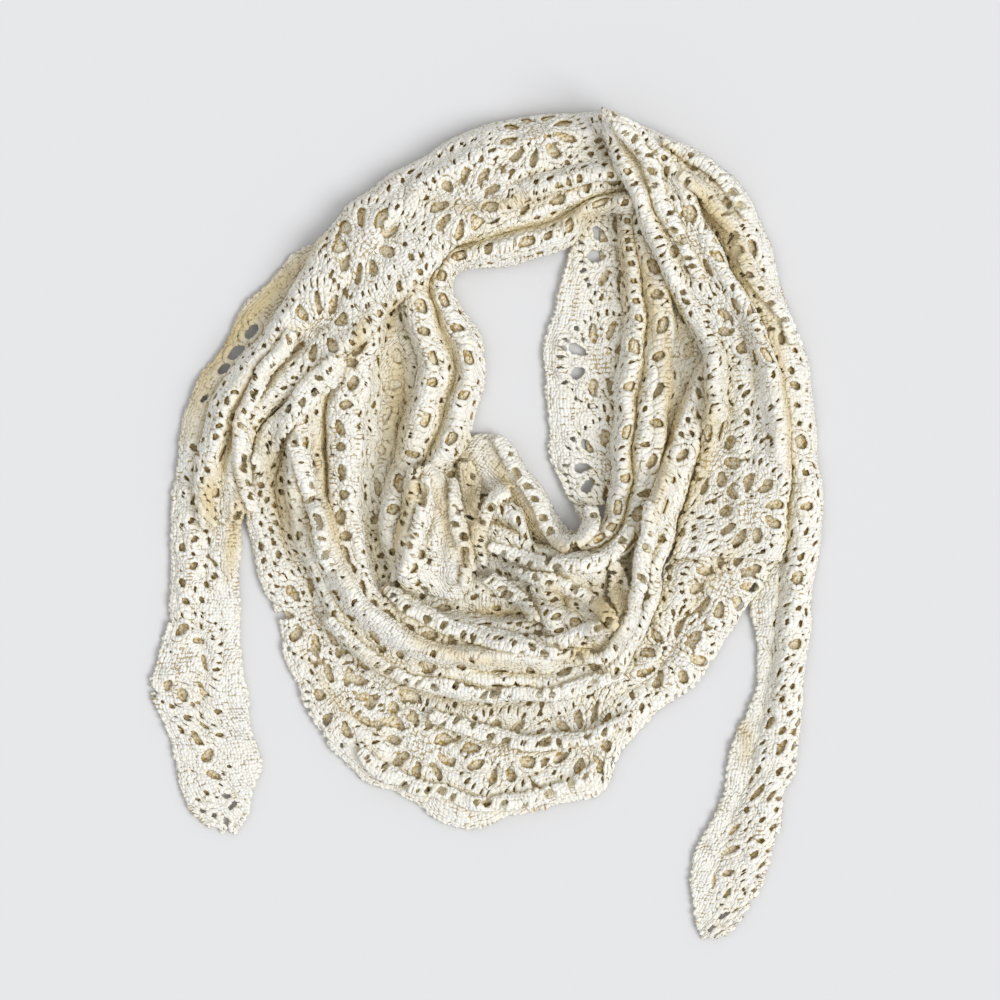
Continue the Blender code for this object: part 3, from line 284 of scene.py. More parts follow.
# flowers: x and y of the middle, petals, turn in degrees, share of the full width
FLOWERS = by_stretch(Flower, {
    "left_tail": ((182, 660, 0, 0, 0.80),),
    "inner_panel": ((620, 253, 8, 10, 0.85), (601, 360, 8, 25, 0.85), (607, 467, 8, 0, 0.85)),
    "front_drape": (
        (722, 583, 9, 0, 0.85), (672, 655, 8, 15, 0.85), (584, 742, 9, 0, 0.85),
        (500, 750, 9, 10, 0.90), (420, 746, 9, 0, 0.90), (385, 680, 8, 0, 0.90),
        (312, 615, 8, 20, 0.85), (342, 702, 7, 15, 0.75)),
    "arch": (
        (536, 138, 9, 0, 0.85), (466, 205, 9, 10, 0.85), (366, 246, 9, 0, 0.90),
        (322, 330, 8, 0, 0.85)),
    "crossing_panel": (
        (692, 246, 9, 0, 0.85), (746, 334, 9, 20, 0.85), (711, 457, 9, 0, 0.80),
        (748, 510, 9, 15, 0.85)),
})

# rows of single gaps: share of the width, first and last section, number of gaps
LOOP_ROWS = by_stretch(LoopRow, {
    "right_outer_and_tail": ((0.30, 1.5, 8.5, 10),),
    "inner_rim": ((0.75, 4.0, 8.0, 4),),
    "right_ridges_and_first_swag": (
        (0.60, 1.5, 10.0, 14), (0.86, 3.2, 9.0, 8), (0.24, 2.0, 6.0, 7)),
    "left_ridge_and_second_swag": ((0.21, 1.4, 11.5, 24), (0.74, 1.6, 5.0, 6)),
    "third_swag": ((0.50, 1.0, 16.4, 25),),
    "neck_loop": ((0.28, 0.6, 12.0, 16), (0.74, 1.0, 11.0, 12)),
    "centre_flap": ((0.30, 1.0, 3.2, 2),),
    "crumpled_fold": ((0.35, 0.6, 2.4, 2),),
    "arch": ((0.40, 8.6, 10.8, 4),),
})


class GapShape(Enum):
    """The outlines that a gap in the lace can have."""

    PETAL = "petal"
    OVAL = "oval"


class Crease(NamedTuple):
    """A soft trough (depth below zero) or ridge along a line of plan points, sizes in mm."""

    line: Line
    half_width_mm: float
    depth_mm: float


class Opening(NamedTuple):
    """A single gap: middle, length and width in plan units, turn in degrees in the plan."""

    plan_x: float
    plan_y: float
    length: float
    width: float
    turn: float


class HollowShade(NamedTuple):
    """A line of plan points along which shade is painted on the cloth, its half width in mm."""

    line: Line
    half_width_mm: float
    share: float


class Ridge(NamedTuple):
    """A narrow fold: its crest in plan units, half its width, its height in mm, its base."""

    name: str
    line: Line
    half_width: float
    crest_mm: float
    rests_on: str


class Border(NamedTuple):
    """A band of close stitches: shares of the width, and of the length, that it covers."""

    across_from: float
    across_to: float
    along_from: float = 0.0
    along_to: float = 1.0


def plan_to_metres(x: float, y: float) -> tuple[float, float]:
    """A point of the plan in metres from the scarf's middle."""
    return (x - PLAN_CENTRE_X) * PLAN_UNIT, (PLAN_CENTRE_Y - y) * PLAN_UNIT


def spline_weights(before: Array, start: Array, end: Array,
                   after: Array, share: Array) -> Array:
    """Points of a centripetal spline between two of its points.

    Args:
        before: the points ahead of the start.
        start: the points where the share is zero.
        end: the points where the share is one.
        after: the points past the end.
        share: how far along the way each point lies.

    Returns:
        The points on the spline.
    """
    def knot_step(first: Array, second: Array) -> Array:
        """The spline's own measure of the way between two points."""
        return np.maximum(np.linalg.norm(second - first, axis=-1), SMALL) ** 0.5

    knot_1 = knot_step(before, start)
    knot_2 = knot_1 + knot_step(start, end)
    knot_3 = knot_2 + knot_step(end, after)
    at = knot_1 + share * (knot_2 - knot_1)

    def blend(first: Array, second: Array, low: Array,
              high: Array) -> Array:
        """Points between two others, by where the wanted knot lies."""
        weight = ((at - low) / (high - low))[..., None]
        return first * (1.0 - weight) + second * weight

    zero = np.zeros_like(knot_1)
    a_1 = blend(before, start, zero, knot_1)
    a_2 = blend(start, end, knot_1, knot_2)
    a_3 = blend(end, after, knot_2, knot_3)
    b_1 = blend(a_1, a_2, zero, knot_2)
    b_2 = blend(a_2, a_3, knot_1, knot_3)
    return blend(b_1, b_2, knot_1, knot_2)


def spline_along(points: Array, places: Array) -> Array:
    """Points on the spline through an array's first axis.

    Args:
        points: the points of the spline.
        places: fractional places along it.

    Returns:
        The points on the spline.
    """
    last = len(points) - 1
    index = np.clip(np.floor(places).astype(int), 0, last - 1)
    share = places - index
    padded = np.concatenate([
        2.0 * points[:1] - points[1:2], points, 2.0 * points[-1:] - points[-2:-1]])
    corners = [padded[index + step] for step in range(4)]
    if points.ndim == 3:
        share = np.repeat(share[:, None], points.shape[1], axis=1)
    return spline_weights(*corners, share)


def section_net(stretch: Stretch) -> Array:
    """The stretch's fold points.

    Args:
        stretch: the stretch with its folds and sections.

    Returns:
        Sections by folds by x, y and height, in metres.
    """
    rows = []
    for section in stretch.sections:
        outer = plan_to_metres(section.outer_x, section.outer_y)
        inner = plan_to_metres(section.inner_x, section.inner_y)
        points = []
        for fold in stretch.folds:
            base = section.outer_mm + (section.inner_mm - section.outer_mm) * fold.across
            height = base + (max(section.crest_mm, base) - base) * fold.rise
            height = max(height - section.crease_mm * fold.crease, 0.0)
            points.append((
                outer[0] + (inner[0] - outer[0]) * fold.across,
                outer[1] + (inner[1] - outer[1]) * fold.across,
                height * MILLIMETRE,
            ))
        rows.append(points)
    return np.array(rows)


@dataclass(frozen=True)
class Wander:
    """A smooth uneven pattern over the plan, a sum of waves of uneven lengths in metres."""

    seed: int
    wavelength: float
    waves: int = 9
    lengths: Span = (0.7, 1.5)

    def values(self, x: Array, y: Array) -> Array:
        """Values from about minus one to one at plan points.

        Args:
            x, y: where they are wanted, in metres.

        Returns:
            The values.
        """
        pick = np.random.default_rng(self.seed)
        total = np.zeros_like(x)
        for _ in range(self.waves):
            heading = pick.uniform(0.0, math.tau)
            step = math.tau / (self.wavelength * pick.uniform(*self.lengths))
            phase = pick.uniform(0.0, math.tau)
            along = x * math.cos(heading) + y * math.sin(heading)
            total += np.sin(along * step + phase)
        return total / math.sqrt(self.waves * 2.0)

    def swell(self, x: Array, y: Array) -> Array:
        """Values from about zero to one at plan points."""
        return 0.5 + 0.5 * self.values(x, y)


class Raster:
    """A height for each small square of the plan."""

    def __init__(self, fill: float) -> None:
        """Give every square the same height.

        Args:
            fill: that height.
        """
        self.origin = (-0.5 * FIELD_X, -0.5 * FIELD_Y)
        self.shape = (int(FIELD_X / RASTER_CELL), int(FIELD_Y / RASTER_CELL))
        self.values = np.full(self.shape, fill)

    def cells(self, x: Array, y: Array) -> tuple[Array, Array]:
        """The columns and rows of the squares that hold some plan points."""
        return tuple(np.clip(((way - start) / RASTER_CELL).astype(int), 0, count - 1)
                     for way, start, count in zip((x, y), self.origin, self.shape))

    def read(self, x: Array, y: Array) -> Array:
        """Heights between the squares' middles, blended.

        Args:
            x, y: where they are wanted, in metres.

        Returns:
            The heights.
        """
        place_x = (x - self.origin[0]) / RASTER_CELL - 0.5
        place_y = (y - self.origin[1]) / RASTER_CELL - 0.5
        column = np.clip(np.floor(place_x).astype(int), 0, self.shape[0] - 2)
        row = np.clip(np.floor(place_y).astype(int), 0, self.shape[1] - 2)
        share_x = np.clip(place_x - column, 0.0, 1.0)
        share_y = np.clip(place_y - row, 0.0, 1.0)
        values = self.values
        near = values[column, row] * (1 - share_y) + values[column, row + 1] * share_y
        far = values[column + 1, row] * (1 - share_y) + values[column + 1, row + 1] * share_y
        return near * (1 - share_x) + far * share_x

    def spread(self, rounds: int) -> None:
        """Let each square take the highest of its own and its neighbours' heights.

        Args:
            rounds: how many squares far the heights spread.
        """
        for _ in range(rounds):
            grown = self.values.copy()
            for axis in (0, 1):
                for step in (-1, 1):
                    grown = np.maximum(grown, np.roll(self.values, step, axis=axis))
            self.values = grown

    def soften(self, rounds: int) -> None:
        """Even out the heights of neighbouring squares.

        Args:
            rounds: how often this is done.
        """
        for _ in range(rounds):
            total = self.values * 4.0
            for axis in (0, 1):
                for step in (-1, 1):
                    total = total + np.roll(self.values, step, axis=axis)
            self.values = total / 8.0


@dataclass(frozen=True)
class Hang:
    """How the soft cloth departs from its plain form, in metres."""

    sway: float = 0.0014
    sway_x: Wander = Wander(21, 0.036)
    sway_y: Wander = Wander(22, 0.036)
    pucker: float = 0.0015
    puckers: Wander = Wander(11, 0.013)

    def bend(self, stretch_name: str, points: Array) -> Array:
        """Sway, pucker and crease the points of one stretch.

        Args:
            stretch_name: the stretch that the points lie on.
            points: its points, one row each.

        Returns:
            The moved points.
        """
        x, y, z = points.T
        raised = z + self.pucker * self.puckers.swell(x, y)
        for crease in CREASES.get(stretch_name, ()):
            profile = line_profile(crease.line, crease.half_width_mm, x, y)
            raised += crease.depth_mm * MILLIMETRE * profile
        return np.stack([
            x + self.sway * self.sway_x.values(x, y),
            y + self.sway * self.sway_y.values(x, y),
            np.maximum(raised, 0.0)], axis=1)


def line_profile(points: Line, half_width_mm: float, x: Array,
                 y: Array) -> Array:
    """A soft profile along a line of plan points.

    Args:
        points: the line, in plan units.
        half_width_mm: how far from the line the profile reaches.
        x, y: where it is wanted, in metres.

    Returns:
        One on the line, zero far from it and at its two ends.
    """
    line = np.array([plan_to_metres(*point) for point in points])
    lengths = np.linalg.norm(np.diff(line, axis=0), axis=1)
    total = lengths.sum()
    nearest = np.full_like(x, np.inf)
    place = np.zeros_like(x)
    passed = 0.0
    for start, end, length in zip(line, line[1:], lengths):
        side = (end - start) / length
        along = np.clip((x - start[0]) * side[0] + (y - start[1]) * side[1], 0.0, length)
        apart = np.hypot(x - start[0] - side[0] * along, y - start[1] - side[1] * along)
        closer = apart < nearest
        nearest = np.where(closer, apart, nearest)
        place = np.where(closer, passed + along, place)
        passed += length
    fade = np.sin(math.pi * np.clip(place / total, *LINE_FADE)) ** 0.5
    return np.exp(-(nearest / (half_width_mm * MILLIMETRE)) ** 2) * fade


class Sheet:
    """One stretch of cloth as a smooth surface, with lengths measured on it."""

    def __init__(self, stretch: Stretch, hang: Hang) -> None:
        """Measure the stretch along each of its lines.

        Args:
            stretch: the folds and sections of the stretch.
            hang: how its cloth departs from them.
        """
        self.name = stretch.name
        self.stretch = stretch
        self.hang = hang
        self.net = section_net(stretch)
        self.section_count, self.fold_count = self.net.shape[:2]
        self.lift: Raster | None = None
        self.dense_t = np.linspace(
            0.0, self.section_count - 1, (self.section_count - 1) * SAMPLES_ALONG + 1)
        self.dense_v = np.linspace(
            0.0, self.fold_count - 1, (self.fold_count - 1) * SAMPLES_ACROSS + 1)
        grid_t, grid_v = np.meshgrid(self.dense_t, self.dense_v, indexing="ij")
        self.dense = self.surface(grid_t.ravel(), grid_v.ravel()).reshape(*grid_t.shape, 3)
        along = np.linalg.norm(np.diff(self.dense, axis=0), axis=2)
        across = np.linalg.norm(np.diff(self.dense, axis=1), axis=2)
        self.mean_along = np.append(0.0, np.cumsum(along.mean(axis=1)))
        self.mean_across = np.append(0.0, np.cumsum(across.mean(axis=0)))

    @property
    def length(self) -> float:
        """The stretch's middling length along the cloth."""
        return float(self.mean_along[-1])

    @property
    def width(self) -> float:
        """The stretch's middling width across the cloth."""
        return float(self.mean_across[-1])

    def surface(self, places_t: Array, places_v: Array) -> Array:
        """Points of the underside.

        Args:
            places_t: fractional sections along the stretch.
            places_v: fractional fold lines across it.

        Returns:
            The points, one row each.
        """
        folds = spline_along(self.net, places_t)
        last = self.fold_count - 1
        index = np.clip(np.floor(places_v).astype(int), 0, last - 1)
        share = places_v - index
        padded = np.concatenate([2.0 * folds[:, :1] - folds[:, 1:2], folds,
                                 2.0 * folds[:, -1:] - folds[:, -2:-1]], axis=1)
        row = np.arange(len(index))
        corners = [padded[row, index + step] for step in range(4)]
        points = spline_weights(*corners, share)
        points[:, 2] = np.maximum(points[:, 2], 0.0)
        points = self.hang.bend(self.name, points)
        if self.lift is not None:
            points[:, 2] += self.lift.read(points[:, 0], points[:, 1])
        return points

    def fold_place(self, across: float) -> float:
        """The place across the fold lines at a share of the width."""
        shares = [fold.across for fold in self.stretch.folds]
        return float(np.interp(across, shares, np.arange(len(shares))))

    def across_at(self, share: float) -> float:
        """The way across the cloth to a share of the plan's width."""
        return float(np.interp(self.fold_place(share), self.dense_v, self.mean_across))

    def along_at(self, section: float) -> float:
        """The way along the cloth to a fractional section."""
        return float(np.interp(section, self.dense_t, self.mean_along))

    def fine_samples(self) -> Array:
        """Points close enough together to touch every square of the raster they cross.

        Returns:
            The points, one row each.
        """
        last_t = self.section_count - 1
        last_v = self.fold_count - 1
        step_t = np.linspace(0, last_t, last_t * FINE_ALONG + 1)
        step_v = np.linspace(0, last_v, last_v * FINE_ACROSS + 1)
        grid_t, grid_v = np.meshgrid(step_t, step_v, indexing="ij")
        return self.surface(grid_t.ravel(), grid_v.ravel())


def ridge_stretch(ridge: Ridge) -> Stretch:
    """The sections of a narrow fold, square to its crest line and lower at both ends.

    Args:
        ridge: the fold's crest line and sizes.

    Returns:
        The fold as a stretch.
    """
    crest = np.array(ridge.line)
    ahead = np.gradient(crest, axis=0)
    ahead /= np.linalg.norm(ahead, axis=1, keepdims=True)
    last = len(crest) - 1
    sections = []
    for order, ((x, y), (ahead_x, ahead_y)) in enumerate(zip(crest, ahead)):
        swell = 1.0 if 0 < order < last else END_SWELL
        half = ridge.half_width * swell * UNEVEN_WIDTHS[order % 2]
        sections.append(Section(
            x - ahead_y * half, y + ahead_x * half, x + ahead_y * half, y - ahead_x * half,
            0.0, ridge.crest_mm * swell, 0.0))
    return Stretch(ridge.name, LIP_FOLDS, tuple(sections))


def lay_sheets(sheets: list[Sheet]) -> Raster:
    """Raise each stretch just clear of those already lying below it.

    Args:
        sheets: the stretches from the lowest to the topmost one.

    Returns:
        The height of the topmost cloth over each square of the plan.
    """
    top = Raster(-WALL)
    for sheet in sheets:
        points = sheet.fine_samples()
        need = Raster(0.0)
        column, row = need.cells(points[:, 0], points[:, 1])
        short = top.values[column, row] + WALL + LAY_CLEARANCE - points[:, 2]
        short = np.where(top.values[column, row] > -WALL, short, 0.0)
        np.maximum.at(need.values, (column, row), short)
        need.spread(LIFT_SPREAD_ROUNDS)
        need.soften(LIFT_SOFTEN_ROUNDS)
        sheet.lift = need
        points = sheet.fine_samples()
        column, row = top.cells(points[:, 0], points[:, 1])
        np.maximum.at(top.values, (column, row), points[:, 2])
    return top


# creases, listed one by one: line, half width in mm, height in mm, below zero for a trough
CREASES = by_stretch(Crease, {
    "left_tail": (
     (((206, 470), (214, 520), (206, 580)), 4.0, -2.0),
     (((190, 600), (206, 660), (200, 720)), 4.0, -1.6),
     (((200, 430), (196, 520), (190, 600), (176, 680)), 5.0, 1.6),
     (((226, 440), (222, 540), (222, 640), (232, 740)), 4.0, -1.6),
     (((180, 700), (204, 760), (226, 810)), 4.0, 1.3)),
    "right_outer_and_tail": (
     (((800, 400), (806, 480), (796, 570), (786, 660)), 4.0, 2.3),
     (((786, 440), (784, 540), (776, 640), (760, 720)), 3.5, -3.1),
     (((770, 700), (748, 780), (722, 850), (708, 910)), 5.0, -1.9),
     (((784, 740), (766, 810), (744, 880)), 4.0, 1.6),
     (((690, 160), (736, 210), (764, 270)), 4.0, 2.6)),
    "inner_panel": (
     (((566, 260), (560, 330), (562, 410), (574, 470)), 4.0, 1.8),
     (((596, 240), (590, 320), (592, 400)), 5.0, -1.2)),
    "inner_rim": (
     (((500, 452), (530, 492), (552, 528)), 3.0, 1.6),
     (((470, 470), (508, 520), (540, 552)), 4.0, -2.2)),
    "front_drape": (
     (((350, 640), (420, 690), (500, 706), (590, 690)), 4.0, -2.6),
     (((360, 720), (430, 764), (520, 776), (590, 750)), 4.0, -2.4),
     (((470, 716), (474, 760), (482, 800)), 6.0, 2.0),
     (((548, 706), (560, 750), (566, 786)), 6.0, -2.0),
     (((400, 716), (392, 750), (404, 780)), 5.0, -2.0),
     (((640, 620), (660, 664), (650, 706)), 5.0, -2.0),
     (((700, 560), (716, 600), (706, 640)), 5.0, 2.0),
     (((290, 520), (310, 590), (350, 650), (400, 690)), 5.0, 2.1),
     (((300, 560), (322, 620), (360, 668)), 3.5, -2.5),
     (((400, 710), (470, 726), (550, 720), (620, 690)), 5.0, -3.1),
     (((380, 700), (450, 750), (540, 760), (600, 738)), 6.0, 2.1),
     (((420, 780), (480, 806), (540, 800)), 5.0, -2.5),
     (((640, 690), (690, 650), (730, 600), (752, 566)), 5.0, 2.3),
     (((620, 668), (664, 634), (700, 596)), 4.0, -2.8)),
    "right_ridges_and_first_swag": (
     (((676, 330), (690, 420), (684, 500), (660, 580)), 3.0, -2.6),
     (((628, 240), (634, 330), (632, 420), (620, 500)), 2.4, -2.2),
     (((460, 486), (490, 530), (500, 570)), 4.0, -3.0),
     (((650, 300), (655, 380), (650, 450), (640, 510)), 2.6, -2.5),
     (((480, 520), (530, 560), (590, 572)), 3.5, -2.8),
     (((500, 546), (548, 574), (606, 584)), 3.0, 2.1)),
    "left_ridge_and_second_swag": (
     (((336, 380), (338, 450), (342, 520), (360, 570)), 3.0, -2.6),
     (((400, 330), (404, 400), (398, 460), (392, 530)), 3.0, -2.6),
     (((360, 560), (400, 596), (470, 628), (560, 640)), 2.6, -2.2),
     (((380, 340), (382, 420), (372, 500)), 3.2, -2.8),
     (((400, 600), (460, 612), (530, 616), (590, 606)), 3.2, -2.5)),
    "third_swag": (
     (((300, 520), (330, 590), (380, 650), (450, 680)), 2.6, -2.2),
     (((420, 660), (480, 668), (550, 672), (600, 660)), 3.0, -2.5),
     (((312, 440), (312, 500), (330, 560)), 2.6, -2.2)),
    "neck_loop": (
     (((560, 200), (520, 216), (474, 236), (436, 262)), 3.0, -3.1),
     (((430, 300), (440, 350), (438, 400), (420, 450)), 3.0, -3.4),
     (((452, 300), (470, 345), (462, 400), (444, 450)), 3.0, 1.6)),
    "centre_flap": (
     (((420, 480), (426, 520), (428, 560)), 3.5, -3.7),
     (((444, 486), (452, 530), (452, 580)), 3.5, 2.1),
     (((458, 500), (446, 540), (440, 575)), 4.5, -3.2),
     (((410, 560), (436, 566), (462, 578)), 3.5, 2.0)),
    "crumpled_fold": (
     (((552, 566), (566, 590), (560, 622), (570, 640)), 4.0, -4.5),
     (((590, 574), (592, 600), (604, 626)), 3.5, -3.8),
     (((534, 596), (556, 604), (590, 612)), 3.0, -2.6),
     (((545, 580), (565, 606), (592, 630)), 3.0, -4.0),
     (((566, 566), (590, 596), (606, 622)), 3.0, 2.1)),
    "arch": (
     (((610, 130), (560, 140), (500, 152), (440, 176)), 4.0, 2.1),
     (((470, 150), (420, 178), (372, 214), (338, 262)), 5.0, -3.4),
     (((420, 200), (380, 232), (350, 276), (318, 322)), 4.5, 2.3),
     (((300, 300), (268, 344), (236, 392), (216, 440)), 3.5, 2.9),
     (((330, 330), (296, 366), (262, 404)), 4.0, 2.6),
     (((318, 318), (280, 360), (246, 404), (232, 450)), 3.0, -3.7),
     (((590, 168), (540, 176), (494, 192)), 3.0, -2.8),
     (((226, 410), (214, 460), (216, 510)), 3.5, 2.3),
     (((412, 178), (404, 206), (392, 240)), 4.0, -2.4),
     (((520, 140), (500, 168), (486, 196)), 4.0, -2.2),
     (((560, 126), (546, 150), (540, 176)), 5.0, 1.8),
     (((350, 240), (352, 280), (336, 318)), 4.0, -2.6)),
    "crossing_panel": (
     (((610, 128), (640, 158), (668, 200), (690, 240)), 3.0, 2.6),
     (((628, 128), (664, 160), (700, 204), (722, 246)), 2.6, -4.0),
     (((640, 140), (676, 176), (704, 216)), 2.6, 1.8),
     (((760, 350), (772, 420), (770, 500)), 4.0, 2.3),
     (((736, 300), (750, 360), (752, 430), (744, 500)), 4.0, -2.5),
     (((712, 400), (720, 450), (712, 520)), 5.0, 1.6),
     (((700, 300), (724, 350), (728, 410), (712, 470)), 5.0, -2.6),
     (((770, 370), (780, 440), (772, 520)), 4.0, -2.4),
     (((690, 430), (702, 480), (690, 540), (668, 580)), 4.0, -2.2),
     (((730, 420), (742, 480), (730, 540)), 4.0, 2.0)),
})

# where warm shade is painted on the cloth between folds: line, half width in mm and share
HOLLOW_SHADES = tuple(HollowShade(*row) for row in (
    (((189, 436), (207, 376), (246, 322), (292, 272), (324, 242)), 7.5, 1.0),
    (((594, 594), (603, 606), (612, 628)), 8.0, 1.0),
    (((214, 470), (208, 500), (214, 530)), 4.5, 0.9),
    (((236, 500), (232, 540), (228, 580)), 4.5, 0.8),
    (((262, 300), (240, 336), (222, 372)), 3.0, 0.7),
    (((256, 372), (240, 404), (232, 450)), 3.5, 0.8),
    (((640, 240), (652, 300), (654, 360)), 4.0, 0.8),
    (((620, 212), (626, 262), (628, 330)), 3.5, 0.7),
    (((420, 470), (404, 520), (394, 566)), 4.5, 0.9),
    (((300, 650), (340, 706), (392, 740)), 3.5, 0.5),
    (((675, 178), (704, 204), (730, 240), (752, 285)), 5.0, 0.9),
    (((757, 285), (774, 350), (786, 430), (790, 505)), 4.0, 0.8),
    (((413, 293), (392, 312), (384, 345)), 5.0, 0.9),
    (((398, 330), (400, 400), (394, 480)), 10.0, 0.9),
    (((487, 452), (512, 490), (530, 520), (540, 548)), 4.0, 0.9),
    (((545, 538), (566, 550), (586, 542)), 3.0, 0.6),
    (((462, 440), (470, 480), (474, 530), (470, 572)), 8.0, 0.8),
    (((436, 480), (446, 520), (452, 556)), 5.0, 0.7),
    (((660, 300), (666, 380), (664, 460), (650, 520)), 4.0, 0.8),
    (((700, 360), (708, 420), (700, 480), (690, 520)), 5.0, 0.7),
    (((268, 440), (280, 490), (298, 550)), 9.0, 0.8),
    (((612, 570), (618, 600), (608, 640)), 6.0, 0.9),
    (((545, 580), (560, 592), (576, 604)), 4.0, 0.8),
    (((480, 606), (510, 613), (535, 616)), 4.0, 0.9),
    (((560, 655), (582, 650), (602, 638)), 5.0, 0.9),
    (((690, 600), (720, 562), (745, 540)), 6.0, 0.6),
    (((310, 420), (322, 470), (334, 530), (352, 580)), 4.0, 0.8),
    (((345, 375), (360, 340), (372, 310)), 4.0, 0.8),
    (((242, 470), (238, 520), (233, 560)), 4.0, 0.7),
    (((420, 200), (470, 214), (520, 204), (570, 190)), 4.0, 0.6),
    (((560, 226), (590, 215), (612, 206)), 5.0, 0.6),
    (((735, 715), (746, 735), (744, 765)), 5.0, 0.6),
    (((380, 596), (420, 640), (470, 656), (540, 664)), 4.0, 0.6),
    (((350, 640), (400, 684), (460, 704), (540, 708)), 4.0, 0.6),
))

# narrow layers without gaps along their crest, tucked between the folds
CLOSED_LAYERS = ("tucked_layer_right", "tucked_layer_middle")

# narrow folds: name, crest line, half width, height in mm, and the stretch that they lie on
LIP_FOLDS = fold_lines((0.00, 0.0), (0.13, 0.86), (0.36, 1.0), (0.70, 0.52), (1.00, 0.0))
RIDGES = tuple(Ridge(*row) for row in (
    ("tucked_layer_right", ((608, 560), (620, 588), (616, 624)), 10.0, 1.5, "hidden_folds_front"),
    ("tucked_layer_middle", ((464, 440), (470, 480), (473, 530), (470, 576)), 9.0, 1.5,
     "left_ridge_and_second_swag"),
    ("twisted_fold_left", ((296, 330), (285, 354), (263, 379), (247, 424), (247, 480),
     (256, 512)), 6.5, 4.2, "arch"),
    ("diagonal_fold_left", ((346, 358), (324, 382), (298, 410), (276, 437), (254, 470)), 12.0,
     3.3, "hidden_folds_back"),
    ("left_fold_edge", ((297, 420), (304, 464), (314, 500), (328, 542), (340, 582)), 6.5, 3.3,
     "left_ridge_and_second_swag"),
    ("crossing_fold_inner", ((610, 134), (628, 144), (644, 162), (657, 196), (676, 238),
     (702, 284)), 6.5, 3.2, "crossing_panel"),
    ("crossing_fold_middle", ((672, 178), (704, 200), (730, 232), (752, 278), (780, 318),
     (796, 350)), 6.5, 3.0, "crossing_panel"),
    ("crossing_fold_outer", ((660, 142), (706, 168), (734, 198), (756, 242)), 6.5, 2.6,
     "right_outer_and_tail"),
    ("drape_tier", ((412, 704), (462, 724), (530, 740), (590, 734), (642, 712)), 7.0, 2.8,
     "front_drape"),
    ("hem_tier", ((346, 738), (392, 774), (440, 792), (500, 800), (560, 788), (598, 764)), 7.0,
     2.8, "front_drape"),
    ("centre_flap_left_edge", ((430, 476), (424, 510), (415, 545), (402, 576)), 6.5, 3.3,
     "centre_flap"),
    ("centre_flap_right_edge", ((452, 482), (461, 525), (467, 560), (465, 596)), 6.5, 3.3,
     "centre_flap"),
    ("middle_fold_edge", ((482, 566), (480, 530), (490, 502), (508, 488), (516, 494)), 6.5, 3.3,
     "right_ridges_and_first_swag"),
    ("first_swag_edge", ((488, 546), (532, 558), (567, 564), (592, 562), (614, 550), (630, 524)),
     6.5, 3.3, "right_ridges_and_first_swag"),
    ("second_swag_edge", ((476, 570), (502, 584), (526, 602), (538, 622)), 6.5, 3.3,
     "left_ridge_and_second_swag"),
    ("crumple_upper_edge", ((512, 566), (552, 582), (584, 592), (604, 610), (613, 626)), 6.5, 3.3,
     "crumpled_fold"),
    ("crumple_lower_edge", ((528, 636), (548, 640), (574, 632), (602, 624)), 6.5, 3.3,
     "crumpled_fold"),
    ("right_fold_edge", ((648, 505), (643, 552), (635, 593), (624, 630), (604, 656), (576, 656)),
     6.5, 3.3, "right_ridges_and_first_swag"),
    ("inner_rim_crest", ((496, 438), (515, 462), (529, 487), (541, 508), (549, 528), (564, 541),
     (580, 538), (590, 520), (586, 494)), 6.5, 3.3, "inner_rim"),
    ("lower_swag_edge", ((386, 582), (410, 604), (446, 622), (490, 636), (540, 648), (590, 652)),
     7.0, 3.3, "left_ridge_and_second_swag"),
    ("third_swag_edge", ((330, 612), (362, 648), (402, 672), (450, 686), (510, 692), (570, 688),
     (622, 670)), 6.5, 3.0, "third_swag"),
))

